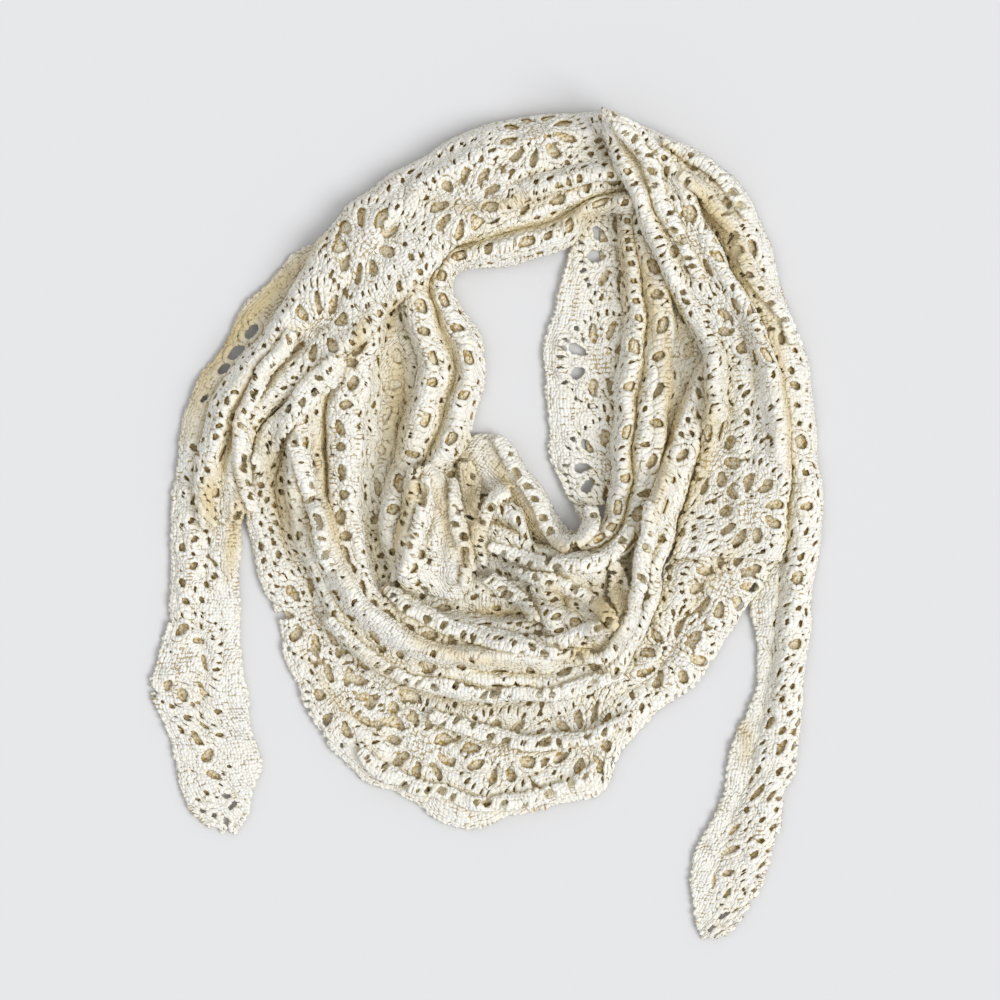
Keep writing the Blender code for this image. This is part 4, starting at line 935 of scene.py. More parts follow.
# single large gaps: x and y of the middle, length and width in plan units, turn in degrees
OPENINGS = by_stretch(Opening, {
    "left_tail": (
        (237, 352, 21, 11, 50), (252, 333, 19, 11, 50), (225, 370, 16, 9, 60),
        (205, 398, 11, 6, 60), (184, 548, 11, 8, 60), (184, 582, 12, 7, 120),
        (202, 600, 10, 6, 110), (196, 500, 12, 8, 80), (182, 629, 17, 10, 60),
        (199, 640, 16, 8, 160), (205, 663, 18, 7, 110), (168, 684, 15, 9, 70),
        (184, 694, 16, 10, 90), (203, 688, 18, 7, 100), (196, 738, 18, 7, 100),
        (208, 756, 18, 11, 60), (214, 775, 17, 9, 150), (226, 795, 10, 6, 160),
        (217, 712, 9, 6, 20), (220, 734, 10, 6, 20), (230, 764, 8, 6, 60)),
    "right_outer_and_tail": (
        (771, 722, 17, 9, 85), (781, 746, 18, 8, 75), (778, 771, 13, 6, 85),
        (757, 792, 21, 9, 75), (769, 794, 16, 6, 85), (762, 818, 9, 6, 70), (735, 829, 17, 9, 40),
        (731, 850, 19, 10, 20), (749, 838, 9, 6, 50), (728, 872, 13, 8, 15),
        (714, 881, 16, 6, 95), (727, 893, 13, 6, 60), (742, 870, 9, 6, 80), (780, 672, 12, 7, 85),
        (782, 698, 9, 6, 85)),
    "front_drape": (
        (307, 532, 12, 9, 80), (313, 553, 14, 9, 70), (468, 797, 14, 8, 60), (487, 803, 14, 8, 0),
        (512, 798, 14, 8, 160), (536, 786, 14, 8, 140)),
    "right_ridges_and_first_swag": (
        (625, 545, 18, 11, 60), (520, 536, 13, 8, 20), (560, 578, 12, 8, 10)),
    "left_ridge_and_second_swag": (
        (443, 609, 20, 13, 10), (483, 627, 20, 11, 25), (396, 470, 14, 9, 80),
        (372, 604, 16, 9, 30), (540, 672, 14, 9, 170)),
    "third_swag": ((430, 668, 15, 9, 10), (498, 682, 14, 8, 0), (384, 646, 13, 8, 30)),
    "centre_flap": ((413, 566, 14, 11, 20), (430, 560, 9, 6, 60), (428, 528, 12, 8, 110)),
    "crumpled_fold": ((594, 608, 12, 8, 20), (556, 616, 13, 7, 30), (572, 586, 10, 6, 50)),
    "arch": ((480, 226, 14, 9, 10), (340, 240, 13, 9, 40)),
    "crossing_panel": ((700, 390, 15, 9, 80), (664, 176, 14, 8, 60), (682, 214, 13, 8, 60)),
})

# bands of close stitches: shares of the width, then shares of the length
BORDERS = by_stretch(Border, {
    "left_tail": ((0.00, 0.17), (0.64, 1.00), (0.00, 0.62, 0.0, 0.37)),
    "right_outer_and_tail": ((0.00, 0.10, 0.0, 0.55), (0.62, 1.00, 0.45, 1.0)),
    "inner_panel": ((0.00, 0.30),),
    "inner_rim": ((0.10, 0.45),),
    "front_drape": ((0.00, 0.13),),
    "right_ridges_and_first_swag": ((0.00, 0.10),),
    "third_swag": ((0.76, 1.00),),
    "neck_loop": ((0.44, 0.62),),
    "centre_flap": ((0.55, 1.00),),
    "arch": ((0.00, 0.07, 0.0, 0.6), (0.60, 0.78, 0.62, 1.0)),
    "crossing_panel": ((0.00, 0.10), (0.15, 0.85, 0.0, 0.22)),
})

# the stretches whose two ends lie tucked away below others
TUCKED_ENDS = ("inner_panel", "inner_rim", "neck_loop", "third_swag", "front_drape",
               "crossing_panel")


class Held(Enum):
    """How a stretch of the scarf is held."""

    LAID = "laid"
    FOLDED = "folded"
    GATHERED = "gathered"


@dataclass(frozen=True)
class LacePlan:
    """Sizes of the lace's gaps and edges, in metres, with turns in radians.

    A turn or shift is the most that a gap strays either way from an even pattern, a skipped
    share says how many gaps are left out, and a span holds the least and the most of a share.
    """

    margin: float = 0.002
    crest_pitch: float = 0.0092
    crest_skipped: float = 0.24
    crest_shift: float = 0.35
    crest_turn: float = 0.7
    crest_across: Span = (0.32, 0.62)
    crest_size: Span = (0.50, 1.35)
    crest_half_length: float = 0.0033
    crest_half_width: float = 0.0021
    petal_turn: float = 0.06
    petal_shift: float = 0.0008
    petal_from: float = 0.0118
    petal_to: float = 0.0262
    petal_half_width: float = 0.0046
    slit_radius: float = 0.0316
    slit_half_length: float = 0.0030
    slit_half_width: float = 0.0014
    slit_pitch: float = 0.0058
    slit_skipped: float = 0.12
    slit_shift: float = 0.15
    flower_reach: float = 0.036
    loop_length: float = 0.0120
    short_loop_length: float = 0.0090
    loop_width: float = 0.0072
    loop_turn: float = 0.45
    loop_shift: float = 0.0009
    loop_columns: float = 1.4
    wide_pitch: float = 0.0088
    wide_half_size: float = 0.00240
    wide_clear: float = 0.0037
    net_pitch: float = 0.0048
    net_half_size: float = 0.00155
    net_clear: float = 0.0026
    net_rows: float = 0.92
    net_shift: float = 0.3
    net_turn: float = 1.2
    net_length: Span = (0.95, 1.5)
    net_width: Span = (0.7, 1.0)
    picot_apart: float = 0.0032
    picot_pitch: float = 0.0049
    picot_shift: float = 0.2
    picot_half_length: float = 0.0017
    picot_half_width: float = 0.0013
    picot_clear: float = 0.0022
    unevenness: float = 0.13
    scallop_length: float = 0.0440
    scallop_depth: float = 0.0016
    scallop_drift: Span = (0.8, 31.0)
    fray: float = 0.00042
    fray_reach: float = 0.0018
    nub_length: float = 0.0047
    nub_depth: float = 0.0015
    nub_drift: Span = (1.2, 210.0)


class FineGrid:
    """A stretch laid out as an even grid of points, with the way to the nearest gap."""

    FAR = 0.05
    WINDOW_SPARE = 1.9
    TURN_STEP = 2

    def __init__(self, sheet: Sheet, cell: float) -> None:
        """Place the grid's points on the sheet and measure the ways between them.

        Args:
            sheet: the stretch that is laid out.
            cell: about how far apart the points lie, in metres.
        """
        self.sheet = sheet
        self.cell = cell
        self.rows = round(sheet.length / cell)
        self.columns = round(sheet.width / cell)
        self.shape = (self.rows + 1, self.columns + 1)
        grid_i, grid_j = np.meshgrid(
            np.arange(self.rows + 1.0), np.arange(self.columns + 1.0), indexing="ij")
        self.points = self.place(grid_i, grid_j)
        along = np.linalg.norm(np.diff(self.points, axis=0), axis=2)
        across = np.linalg.norm(np.diff(self.points, axis=1), axis=2)
        self.ahead = np.vstack([np.zeros((1, self.shape[1])), np.cumsum(along, axis=0)])
        self.aside = np.hstack([np.zeros((self.shape[0], 1)), np.cumsum(across, axis=1)])
        self.gap = np.full(self.shape, self.FAR)
        self.cord = np.full(self.shape, self.FAR)
        self.motif = np.full((*self.shape, 2), self.FAR)
        self.motif_apart = np.full(self.shape, self.FAR)

    def place(self, grid_i: Array, grid_j: Array) -> Array:
        """Points of the sheet at fractional places of the grid.

        Args:
            grid_i: the rows.
            grid_j: the columns.

        Returns:
            The points, in the shape of the rows.
        """
        station = grid_i.ravel() * self.sheet.length / self.rows
        line = grid_j.ravel() * self.sheet.width / self.columns
        places_t = np.interp(station, self.sheet.mean_along, self.sheet.dense_t)
        places_v = np.interp(line, self.sheet.mean_across, self.sheet.dense_v)
        return self.sheet.surface(places_t, places_v).reshape(*grid_i.shape, 3)

    def nearest(self, x: float, y: float) -> tuple[int, int]:
        """The topmost grid point over a plan point.

        Args:
            x, y: the plan point's place in metres.

        Returns:
            Its row and column.
        """
        apart = np.hypot(self.points[:, :, 0] - x, self.points[:, :, 1] - y)
        rated = apart - TOPMOST_PULL * self.points[:, :, 2]
        row, column = np.unravel_index(np.argmin(rated), self.shape)
        return int(row), int(column)

    def around(self, row: int, column: int,
               reach: float) -> tuple[Window, Array, Array]:
        """The grid near a point, and how far ahead of and beside it each point lies.

        Args:
            row: the point's row.
            column: the point's column.
            reach: how far the window goes, in metres.

        Returns:
            The window, the ways ahead and the ways aside.
        """
        span = int(math.ceil(reach / self.cell * self.WINDOW_SPARE))
        window = (slice(max(row - span, 0), row + span + 1),
                  slice(max(column - span, 0), column + span + 1))
        ahead = self.ahead[window] - self.ahead[row, window[1]][None, :]
        aside = self.aside[window] - self.aside[window[0], column][:, None]
        return window, ahead, aside

    def local_turn(self, row: int, column: int, heading: float) -> float:
        """The turn on the cloth of a heading in the plan.

        Args:
            row: the row of the point where the turn is wanted.
            column: the column of that point.
            heading: the heading in the plan, in radians.

        Returns:
            The turn in radians.
        """
        step = self.TURN_STEP
        low_i, high_i = max(row - step, 0), min(row + step, self.rows)
        low_j, high_j = max(column - step, 0), min(column + step, self.columns)
        along = self.points[high_i, column] - self.points[low_i, column]
        across = self.points[row, high_j] - self.points[row, low_j]
        way = np.array((math.cos(heading), math.sin(heading), 0.0))
        return math.atan2(way @ across / np.linalg.norm(across),
                          way @ along / np.linalg.norm(along))

    def normals(self, points: Array) -> Array:
        """The upward facing of the cloth.

        Args:
            points: the grid's points.

        Returns:
            The facing at each of them, one long.
        """
        along = np.gradient(points, axis=0)
        across = np.gradient(points, axis=1)
        facing = np.cross(along, across)
        facing *= np.where(facing[:, :, 2].mean() < 0.0, -1.0, 1.0)
        return facing / np.maximum(np.linalg.norm(facing, axis=2, keepdims=True), SMALL)


def gap_distance(shape: GapShape, ahead: Array, aside: Array, half_length: float,
                 half_width: float) -> Array:
    """How far points lie outside a gap's outline, negative inside it.

    Args:
        shape: the kind of outline.
        ahead: ways from the gap's middle along it.
        aside: ways from the gap's middle across it.
        half_length: half the gap's length.
        half_width: half the gap's greatest width.

    Returns:
        The ways to the outline, in metres.
    """
    if shape is GapShape.PETAL:
        opened = np.clip(0.5 + PETAL_WIDENING * ahead / half_length, 0.0, 1.0)
        aside = aside / (PETAL_FOOT + (1.0 - PETAL_FOOT) * opened)
    share = np.hypot(ahead / half_length, aside / half_width)
    slope = np.hypot(ahead / half_length ** 2, aside / half_width ** 2)
    return share * (share - 1.0) / np.maximum(slope, 1.0 / FineGrid.FAR)


class LaceCutter:
    """Cuts the flowers, loops, net and edges of the lace into one fine grid."""

    def __init__(self, grid: FineGrid, plan: LacePlan, seed: int) -> None:
        """Take the grid to cut and the sizes to cut it with.

        Args:
            grid: the grid of the stretch.
            plan: the sizes of its lace.
            seed: the number that sets how it strays from an even pattern.
        """
        self.grid = grid
        self.plan = plan
        self.name = grid.sheet.name
        self.pick = np.random.default_rng(seed)
        self.picots: list[tuple[int, int, float]] = []

    def stray(self, reach: float) -> float:
        """A value up to the reach below or above zero."""
        return self.pick.uniform(-reach, reach)

    def uneven(self, size: float) -> float:
        """A size a little larger or smaller than the one given."""
        return size * (1.0 + self.plan.unevenness * self.pick.uniform(-1.0, 1.0))

    def cut(self, row: int, column: int, shape: GapShape, half_length: float,
            half_width: float, turn: float, out: float = 0.0, squeeze: float = 1.0) -> None:
        """Cut one gap.

        Args:
            row: the row of the point that the gap belongs to.
            column: the column of that point.
            shape: the kind of outline.
            half_length: half the gap's length.
            half_width: half the gap's width.
            turn: the gap's turn on the cloth, in radians.
            out: how far the gap's middle lies from the point, along the turn.
            squeeze: how much the pattern is pulled together across the cloth.
        """
        reach = out + 2.0 * half_length + self.plan.margin
        window, ahead, aside = self.grid.around(row, column, reach)
        aside = aside / squeeze
        along = ahead * math.cos(turn) + aside * math.sin(turn) - out
        across = aside * math.cos(turn) - ahead * math.sin(turn)
        apart = gap_distance(shape, along, across, half_length, half_width)
        self.grid.gap[window] = np.minimum(self.grid.gap[window], apart)
        if half_width > self.plan.picot_apart:
            self.grid.cord[window] = np.minimum(self.grid.cord[window], apart)
            self.keep_picots(window, along, across, turn, half_length, half_width)

    def keep_picots(self, window: Window, along: Array, across: Array, turn: float,
                    half_length: float, half_width: float) -> None:
        """Note the places of the small gaps just outside the cord round a large gap.

        Args:
            window: the part of the grid round the gap.
            along: the ways from the gap's middle along it.
            across: the ways from the gap's middle across it.
            turn: the gap's turn on the cloth, in radians.
            half_length: half the gap's length.
            half_width: half the gap's width.
        """
        reach_long = half_length + self.plan.picot_apart
        reach_wide = half_width + self.plan.picot_apart
        count = round(math.pi * (reach_long + reach_wide) / self.plan.picot_pitch)
        for order in range(count):
            heading = math.tau * (order + self.stray(self.plan.picot_shift)) / count
            away = np.hypot(along - reach_long * math.cos(heading),
                            across - reach_wide * math.sin(heading))
            row, column = np.unravel_index(np.argmin(away), away.shape)
            if away[row, column] < self.grid.cell:
                facing = math.atan2(reach_wide * math.cos(heading),
                                    -reach_long * math.sin(heading))
                self.picots.append((window[0].start + int(row), window[1].start + int(column),
                                    turn + facing))

    def cut_picots(self) -> None:
        """Cut the noted small gaps that come too close to no other gap."""
        for row, column, turn in self.picots:
            if self.grid.gap[row, column] > self.plan.picot_clear:
                self.cut(row, column, GapShape.OVAL, self.uneven(self.plan.picot_half_length),
                         self.uneven(self.plan.picot_half_width), turn)

    def flowers(self) -> None:
        """Cut each flower's petals and the ring of slits round them."""
        plan = self.plan
        middle = 0.5 * (plan.petal_from + plan.petal_to)
        half = 0.5 * (plan.petal_to - plan.petal_from)
        slits = round(math.tau * plan.slit_radius / plan.slit_pitch)
        for flower in FLOWERS.get(self.name, ()):
            row, column = self.grid.nearest(*plan_to_metres(flower.plan_x, flower.plan_y))
            self.mark_motif(row, column, flower.squeeze)
            start = math.radians(flower.turn)
            for petal in range(flower.petals):
                turn = start + math.tau * petal / flower.petals + self.stray(plan.petal_turn)
                self.cut(row, column, GapShape.PETAL, self.uneven(half),
                         self.uneven(plan.petal_half_width), turn,
                         middle + self.stray(plan.petal_shift), flower.squeeze)
            for slit in range(slits):
                turn = math.tau * (slit + self.stray(plan.slit_shift)) / slits
                if self.pick.random() < plan.slit_skipped:
                    continue
                self.cut(row, column, GapShape.OVAL, self.uneven(plan.slit_half_length),
                         self.uneven(plan.slit_half_width), turn, plan.slit_radius,
                         flower.squeeze)

    def mark_motif(self, row: int, column: int, squeeze: float) -> None:
        """Keep the ways from a flower's middle for the pattern of its disc.

        Args:
            row: the row of the flower's middle.
            column: the column of the flower's middle.
            squeeze: how much the flower is pulled together across the cloth.
        """
        grid = self.grid
        window, ahead, aside = grid.around(row, column, self.plan.flower_reach)
        aside = aside / squeeze
        apart = np.hypot(ahead, aside)
        closer = (apart < grid.motif_apart[window]) & (apart < self.plan.flower_reach)
        grid.motif_apart[window] = np.where(closer, apart, grid.motif_apart[window])
        local = np.stack([ahead, aside], axis=2)
        grid.motif[window] = np.where(closer[:, :, None], local, grid.motif[window])

    def loops(self) -> None:
        """Cut the rows of single gaps along the folds."""
        sheet, plan = self.grid.sheet, self.plan
        for loops in LOOP_ROWS.get(self.name, ()):
            column = round(sheet.across_at(loops.across) / sheet.width * self.grid.columns)
            for order, place in enumerate(np.linspace(loops.first, loops.last, loops.count)):
                station = sheet.along_at(float(place)) + self.stray(plan.loop_shift)
                row = round(station / sheet.length * self.grid.rows)
                turned = order % 2 == 1
                turn = (0.5 * math.pi if turned else 0.0) + self.stray(plan.loop_turn)
                length = plan.short_loop_length if turned else plan.loop_length
                aside = column + round(self.stray(plan.loop_columns))
                self.cut(row, aside, GapShape.OVAL, self.uneven(0.5 * length),
                         self.uneven(0.5 * plan.loop_width), turn)

    def crest_gaps(self) -> None:
        """Cut a row of gaps along the crest of a narrow fold."""
        sheet, plan = self.grid.sheet, self.plan
        if sheet.stretch.folds is not LIP_FOLDS or self.name in CLOSED_LAYERS:
            return
        count = int(sheet.length / plan.crest_pitch)
        for order in range(1, count):
            if self.pick.random() < plan.crest_skipped:
                continue
            row = round((order + self.stray(plan.crest_shift)) / count * self.grid.rows)
            column = round(self.pick.uniform(*plan.crest_across) * self.grid.columns)
            share = self.pick.uniform(*plan.crest_size)
            self.cut(row, column, GapShape.OVAL, share * plan.crest_half_length,
                     share * plan.crest_half_width, self.stray(plan.crest_turn))

    def openings(self) -> None:
        """Cut the single gaps that are listed one by one."""
        for opening in OPENINGS.get(self.name, ()):
            row, column = self.grid.nearest(*plan_to_metres(opening.plan_x, opening.plan_y))
            turn = self.grid.local_turn(row, column, math.radians(opening.turn))
            self.cut(row, column, GapShape.OVAL, 0.5 * opening.length * PLAN_UNIT,
                     0.5 * opening.width * PLAN_UNIT, turn)

    def border_mask(self) -> Array:
        """Where the grid lies in a band of close stitches.

        Returns:
            True for each such point.
        """
        sheet = self.grid.sheet
        share_j = np.linspace(0.0, sheet.width, self.grid.shape[1])
        share_i = np.linspace(0.0, 1.0, self.grid.shape[0])
        mask = np.zeros(self.grid.shape, dtype=bool)
        for border in BORDERS.get(self.name, ()):
            inside_j = ((share_j >= sheet.across_at(border.across_from) - SMALL)
                        & (share_j <= sheet.across_at(border.across_to) + SMALL))
            inside_i = (share_i >= border.along_from) & (share_i <= border.along_to)
            mask |= inside_i[:, None] & inside_j[None, :]
        return mask

    def net(self, pitch: float, half_size: float, clear: float) -> None:
        """Fill what is left between the borders with gaps in uneven staggered rows.

        Args:
            pitch: how far apart the gaps stand.
            half_size: half their size.
            clear: how far their middles stay from the gaps that are cut already.
        """
        grid, plan = self.grid, self.plan
        closed = self.border_mask() | (grid.motif_apart < plan.petal_from)
        steps_i = round(grid.sheet.length / pitch)
        steps_j = max(round(grid.sheet.width / (plan.net_rows * pitch)), 2)
        for step_j in range(1, steps_j):
            for step_i in range(1, steps_i):
                shift = 0.5 * (step_j % 2)
                place_i = (step_i + shift + self.stray(plan.net_shift)) / steps_i
                place_j = (step_j + self.stray(plan.net_shift)) / steps_j
                row = min(round(place_i * grid.rows), grid.rows)
                column = min(round(place_j * grid.columns), grid.columns)
                if closed[row, column] or grid.gap[row, column] < clear:
                    continue
                half = self.uneven(half_size)
                self.cut(row, column, GapShape.OVAL, half * self.pick.uniform(*plan.net_length),
                         half * self.pick.uniform(*plan.net_width), self.stray(plan.net_turn))

    def edge_depth(self, ways: Array) -> Array:
        """How deep the scallops and the notches between stitches reach in from an edge.

        Args:
            ways: the ways along the edge.

        Returns:
            The depths.
        """
        plan = self.plan
        phase = self.pick.uniform(0.0, math.tau, 3)
        strength, rate = plan.scallop_drift
        scallop = 0.5 + 0.5 * np.cos(ways * math.tau / plan.scallop_length + phase[0]
                                     + strength * np.sin(ways * rate + phase[1]))
        strength, rate = plan.nub_drift
        nub = np.abs(np.cos(ways * math.pi / plan.nub_length
                            + strength * np.sin(ways * rate + phase[2]))) ** 2
        return plan.scallop_depth * scallop + plan.nub_depth * nub

    def edges(self) -> None:
        """Trim all four edges into shallow scallops with a notch between stitches."""
        grid = self.grid
        right = grid.aside[:, -1:] - grid.aside
        sides = [(grid.aside, grid.ahead[:, :1]), (right, grid.ahead[:, -1:])]
        if self.name not in TUCKED_ENDS:
            end = grid.ahead[-1:, :] - grid.ahead
            sides += [(grid.ahead, grid.aside[:1, :]), (end, grid.aside[-1:, :])]
        for way_in, ways in sides:
            grid.gap = np.minimum(grid.gap, way_in - self.edge_depth(ways))

    def fray(self) -> None:
        """Make the outlines of gaps and edges as uneven as the yarn."""
        uneven = self.pick.uniform(-1.0, 1.0, self.grid.shape) * self.plan.fray
        near = np.abs(self.grid.gap) < self.plan.fray_reach
        self.grid.gap = self.grid.gap + np.where(near, uneven, 0.0)

    def run(self) -> None:
        """Cut everything, the largest gaps first."""
        self.flowers()
        self.openings()
        self.loops()
        self.crest_gaps()
        self.cut_picots()
        self.net(self.plan.wide_pitch, self.plan.wide_half_size, self.plan.wide_clear)
        self.net(self.plan.net_pitch, self.plan.net_half_size, self.plan.net_clear)
        self.edges()
        self.fray()


@dataclass(frozen=True)
class Relief:
    """Raised cords and stitches of the cloth, in metres."""

    rim_height: float = 0.0009
    rim_place: float = 0.0010
    rim_width: float = 0.0010
    wobble: float = 0.0003
    wobble_length: float = 0.0052
    stitch: float = 0.00038
    groove_depth: float = 0.0005
    groove_place: float = 0.0030
    groove_width: float = 0.0009

    def heights(self, grid: FineGrid, seed: int) -> Array:
        """How far each point stands out from the plain cloth.

        Args:
            grid: the stretch's grid with its ways to the gaps.
            seed: the number that sets its uneven stitches.

        Returns:
            The heights.
        """
        rim = np.exp(-((grid.gap - self.rim_place) / self.rim_width) ** 2)
        x, y = grid.points[:, :, 0], grid.points[:, :, 1]
        wobble = Wander(seed, self.wobble_length).swell(x, y)
        stitch = np.random.default_rng(seed).uniform(0.0, 1.0, grid.shape)
        groove = np.exp(-((grid.cord - self.groove_place) / self.groove_width) ** 2)
        return (self.rim_height * rim + self.wobble * wobble + self.stitch * stitch
                - self.groove_depth * groove)


def flat_mesh(name: str, grid: FineGrid, triangles: bool) -> Mesh:
    """A flat mesh with a vertex for each point of a grid.

    Args:
        name: the mesh's name.
        grid: the grid that it is made for.
        triangles: whether its squares are cut into triangles.

    Returns:
        The mesh.
    """
    body = bmesh.new()
    bmesh.ops.create_grid(body, x_segments=grid.columns, y_segments=grid.rows, size=0.5)
    if triangles:
        bmesh.ops.triangulate(body, faces=body.faces[:], quad_method="FIXED")
    mesh = bpy.data.meshes.new(name)
    body.to_mesh(mesh)
    body.free()
    return mesh


def face_up(body: bmesh.types.BMesh) -> None:
    """Turn a sheet's faces upwards.

    Args:
        body: the sheet.
    """
    body.normal_update()
    if sum(face.normal.z for face in body.faces) < 0.0:
        bmesh.ops.reverse_faces(body, faces=body.faces[:])


def add_object(name: str, data: ID) -> Object:
    """Put a mesh, a light or a camera into the scene.

    Args:
        name: the object's name.
        data: the mesh, light or camera.

    Returns:
        The object.
    """
    made = bpy.data.objects.new(name, data)
    bpy.context.scene.collection.objects.link(made)
    return made


def add_sheet(mesh: Mesh, finish: Material, thickness: float) -> Object:
    """Make a piece of cloth from its underside.

    Args:
        mesh: the underside.
        finish: its material.
        thickness: how thick the cloth is.

    Returns:
        The piece.
    """
    mesh.shade_smooth()
    mesh.materials.append(finish)
    piece = add_object(mesh.name, mesh)
    wall = piece.modifiers.new("cloth_wall", "SOLIDIFY")
    wall.thickness = thickness
    wall.offset = 1.0
    return piece


@dataclass
class LaceStretch:
    """One stretch of crochet lace as a thin shell on the form of its solid."""

    sheet: Sheet
    held: Held
    rests_on: tuple[str, ...]
    seed: int
    plan: LacePlan = LacePlan()
    relief: Relief = Relief()
    cell: float = 0.00115
    thickness: float = 0.0014
    least_crumb: int = 60

    def build(self, finish: Material) -> Object:
        """Make the stretch's mesh, cut its lace, dress it and tie it to the frame.

        Args:
            finish: the yarn's material.

        Returns:
            The finished piece.
        """
        grid = FineGrid(self.sheet, self.cell)
        LaceCutter(grid, self.plan, self.seed).run()
        mesh = flat_mesh(self.sheet.name + "_lace", grid, True)
        self.shape(mesh, grid)
        piece = add_sheet(mesh, finish, self.thickness)
        self.tie(piece)
        return piece

    def shape(self, mesh: Mesh, grid: FineGrid) -> None:
        """Fit the flat grid's edges to the gaps, lay it on the sheet and open the gaps.

        Args:
            mesh: the flat mesh, which gets its final shape.
            grid: the grid with its ways to the gaps.
        """
        corners = np.empty(len(mesh.edges) * 2, dtype=np.int32)
        mesh.edges.foreach_get("vertices", corners)
        place, gap = fit_to_gaps(grid, corners.reshape(-1, 2))
        points = grid.place(place[:, :, 0], place[:, :, 1])
        grid.gap = gap
        facing = grid.normals(points)
        points = points + facing * self.relief.heights(grid, self.seed)[:, :, None]
        points[:, :, 2] = np.maximum(points[:, :, 2], 0.0)
        mesh.vertices.foreach_set("co", points.reshape(-1).astype(np.float32))
        self.keep_patterns(mesh, grid)
        trios = np.empty(len(mesh.polygons) * 3, dtype=np.int32)
        mesh.polygons.foreach_get("vertices", trios)
        open_faces = gap.ravel()[trios.reshape(-1, 3)].min(axis=1) < -SMALL
        body = bmesh.new()
        body.from_mesh(mesh)
        doomed = [face for face, gone in zip(body.faces, open_faces) if gone]
        bmesh.ops.delete(body, geom=doomed, context="FACES")
        drop_crumbs(body, self.least_crumb)
        face_up(body)
        body.to_mesh(mesh)
        body.free()

    def keep_patterns(self, mesh: Mesh, grid: FineGrid) -> None:
        """Keep places on the cloth and flower, ways to the gaps and the painted shade of the
        hollows.

        Args:
            mesh: the mesh that gets them.
            grid: the grid that holds them.
        """
        sheet = self.sheet
        cloth = np.zeros((*grid.shape, 3), dtype=np.float32)
        cloth[:, :, 0] = np.linspace(0.0, sheet.length, grid.shape[0])[:, None]
        cloth[:, :, 1] = grid.aside
        motif = np.zeros((*grid.shape, 3), dtype=np.float32)
        motif[:, :, :2] = grid.motif
        for name, values in (("cloth", cloth), ("motif", motif)):
            layer = mesh.attributes.new(name, "FLOAT_VECTOR", "POINT")
            layer.data.foreach_set("vector", values.ravel())
        hollow_shade = np.zeros(grid.shape)
        x, y = grid.points[:, :, 0], grid.points[:, :, 1]
        # how strongly shade is painted along each listed line of the hollows between folds
        for line, half_width_mm, share in HOLLOW_SHADES:
            hollow_shade = np.maximum(hollow_shade, share * line_profile(line, half_width_mm, x, y))
        for name, values in (("gap", grid.gap), ("cord", grid.cord), ("hollow_shade", hollow_shade)):
            layer = mesh.attributes.new(name, "FLOAT", "POINT")
            layer.data.foreach_set("value", values.ravel().astype(np.float32))

    def tie(self, piece: Object) -> None:
        """Tie the piece to the frame and hide its solid, if there is one.

        Args:
            piece: the finished piece.
        """
        sheet = self.sheet
        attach(piece, "root")
        if sheet.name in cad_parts:
            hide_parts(sheet.name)


def fit_to_gaps(grid: FineGrid, edges: Array) -> tuple[Array, Array]:
    """Move the grid points nearest to each gap's outline onto it.

    Args:
        grid: the grid with its ways to the gaps.
        edges: pairs of point numbers, one for each edge.

    Returns:
        The fractional rows and columns of the points, and their new ways to the gaps.
    """
    rows, columns = grid.shape
    place = np.stack(np.meshgrid(np.arange(rows, dtype=float), np.arange(columns, dtype=float),
                                 indexing="ij"), axis=2).reshape(-1, 2)
    gap = grid.gap.ravel().copy()
    first, second = edges[:, 0], edges[:, 1]
    crossing = gap[first] * gap[second] < 0.0
    first, second = first[crossing], second[crossing]
    share = gap[first] / (gap[first] - gap[second])
    swap = share > 0.5
    mover = np.where(swap, second, first)
    other = np.where(swap, first, second)
    share = np.where(swap, 1.0 - share, share)
    order = np.argsort(-share, kind="stable")
    fitted = place.copy()
    fitted[mover[order]] = place[mover[order]] + \
        (place[other[order]] - place[mover[order]]) * share[order][:, None]
    gap[mover] = 0.0
    return fitted.reshape(rows, columns, 2), gap.reshape(rows, columns)


def drop_crumbs(body: bmesh.types.BMesh, least_faces: int) -> None:
    """Delete scraps of cloth that the cutting has parted from the rest.

    Args:
        body: the cut cloth.
        least_faces: the least number of faces that a scrap keeps.
    """
    seen = set()
    crumbs = []
    for seed_face in body.faces:
        if seed_face in seen:
            continue
        seen.add(seed_face)
        island = [seed_face]
        for face in island:
            for edge in face.edges:
                for near in edge.link_faces:
                    if near not in seen:
                        seen.add(near)
                        island.append(near)
        if len(island) < least_faces:
            crumbs.extend(island)
    bmesh.ops.delete(body, geom=crumbs, context="FACES")


@dataclass
class UnderLayer:
    """The layer of a fold that only shows through the gaps of the layer above it."""

    sheet: Sheet
    rests_on: tuple[str, ...]
    across: Span
    along: Span
    cell: float = 0.0034
    drop: float = 0.0031
    ripple: float = 0.0006
    ripples: Wander = Wander(41, 0.009)
    thickness: float = 0.0010
    least_height: float = 0.0003

    def build(self, finish: Material) -> Object:
        """Make the layer from the stretch's own surface, lowered.

        Args:
            finish: the material of shaded yarn.

        Returns:
            The finished piece.
        """
        grid = FineGrid(self.sheet, self.cell)
        mesh = flat_mesh(self.sheet.name + "_under_layer", grid, False)
        grid_i, grid_j = np.meshgrid(
            np.linspace(*self.along, grid.shape[0]) * grid.rows,
            np.linspace(*self.across, grid.shape[1]) * grid.columns, indexing="ij")
        points = grid.place(grid_i, grid_j)
        ripple = self.ripples.values(points[:, :, 0], points[:, :, 1])
        points[:, :, 2] += self.ripple * ripple - self.drop
        points[:, :, 2] = np.maximum(points[:, :, 2], self.least_height)
        mesh.vertices.foreach_set("co", points.reshape(-1).astype(np.float32))
        body = bmesh.new()
        body.from_mesh(mesh)
        face_up(body)
        body.to_mesh(mesh)
        body.free()
        piece = add_sheet(mesh, finish, self.thickness)
        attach(piece, "root")
        return piece


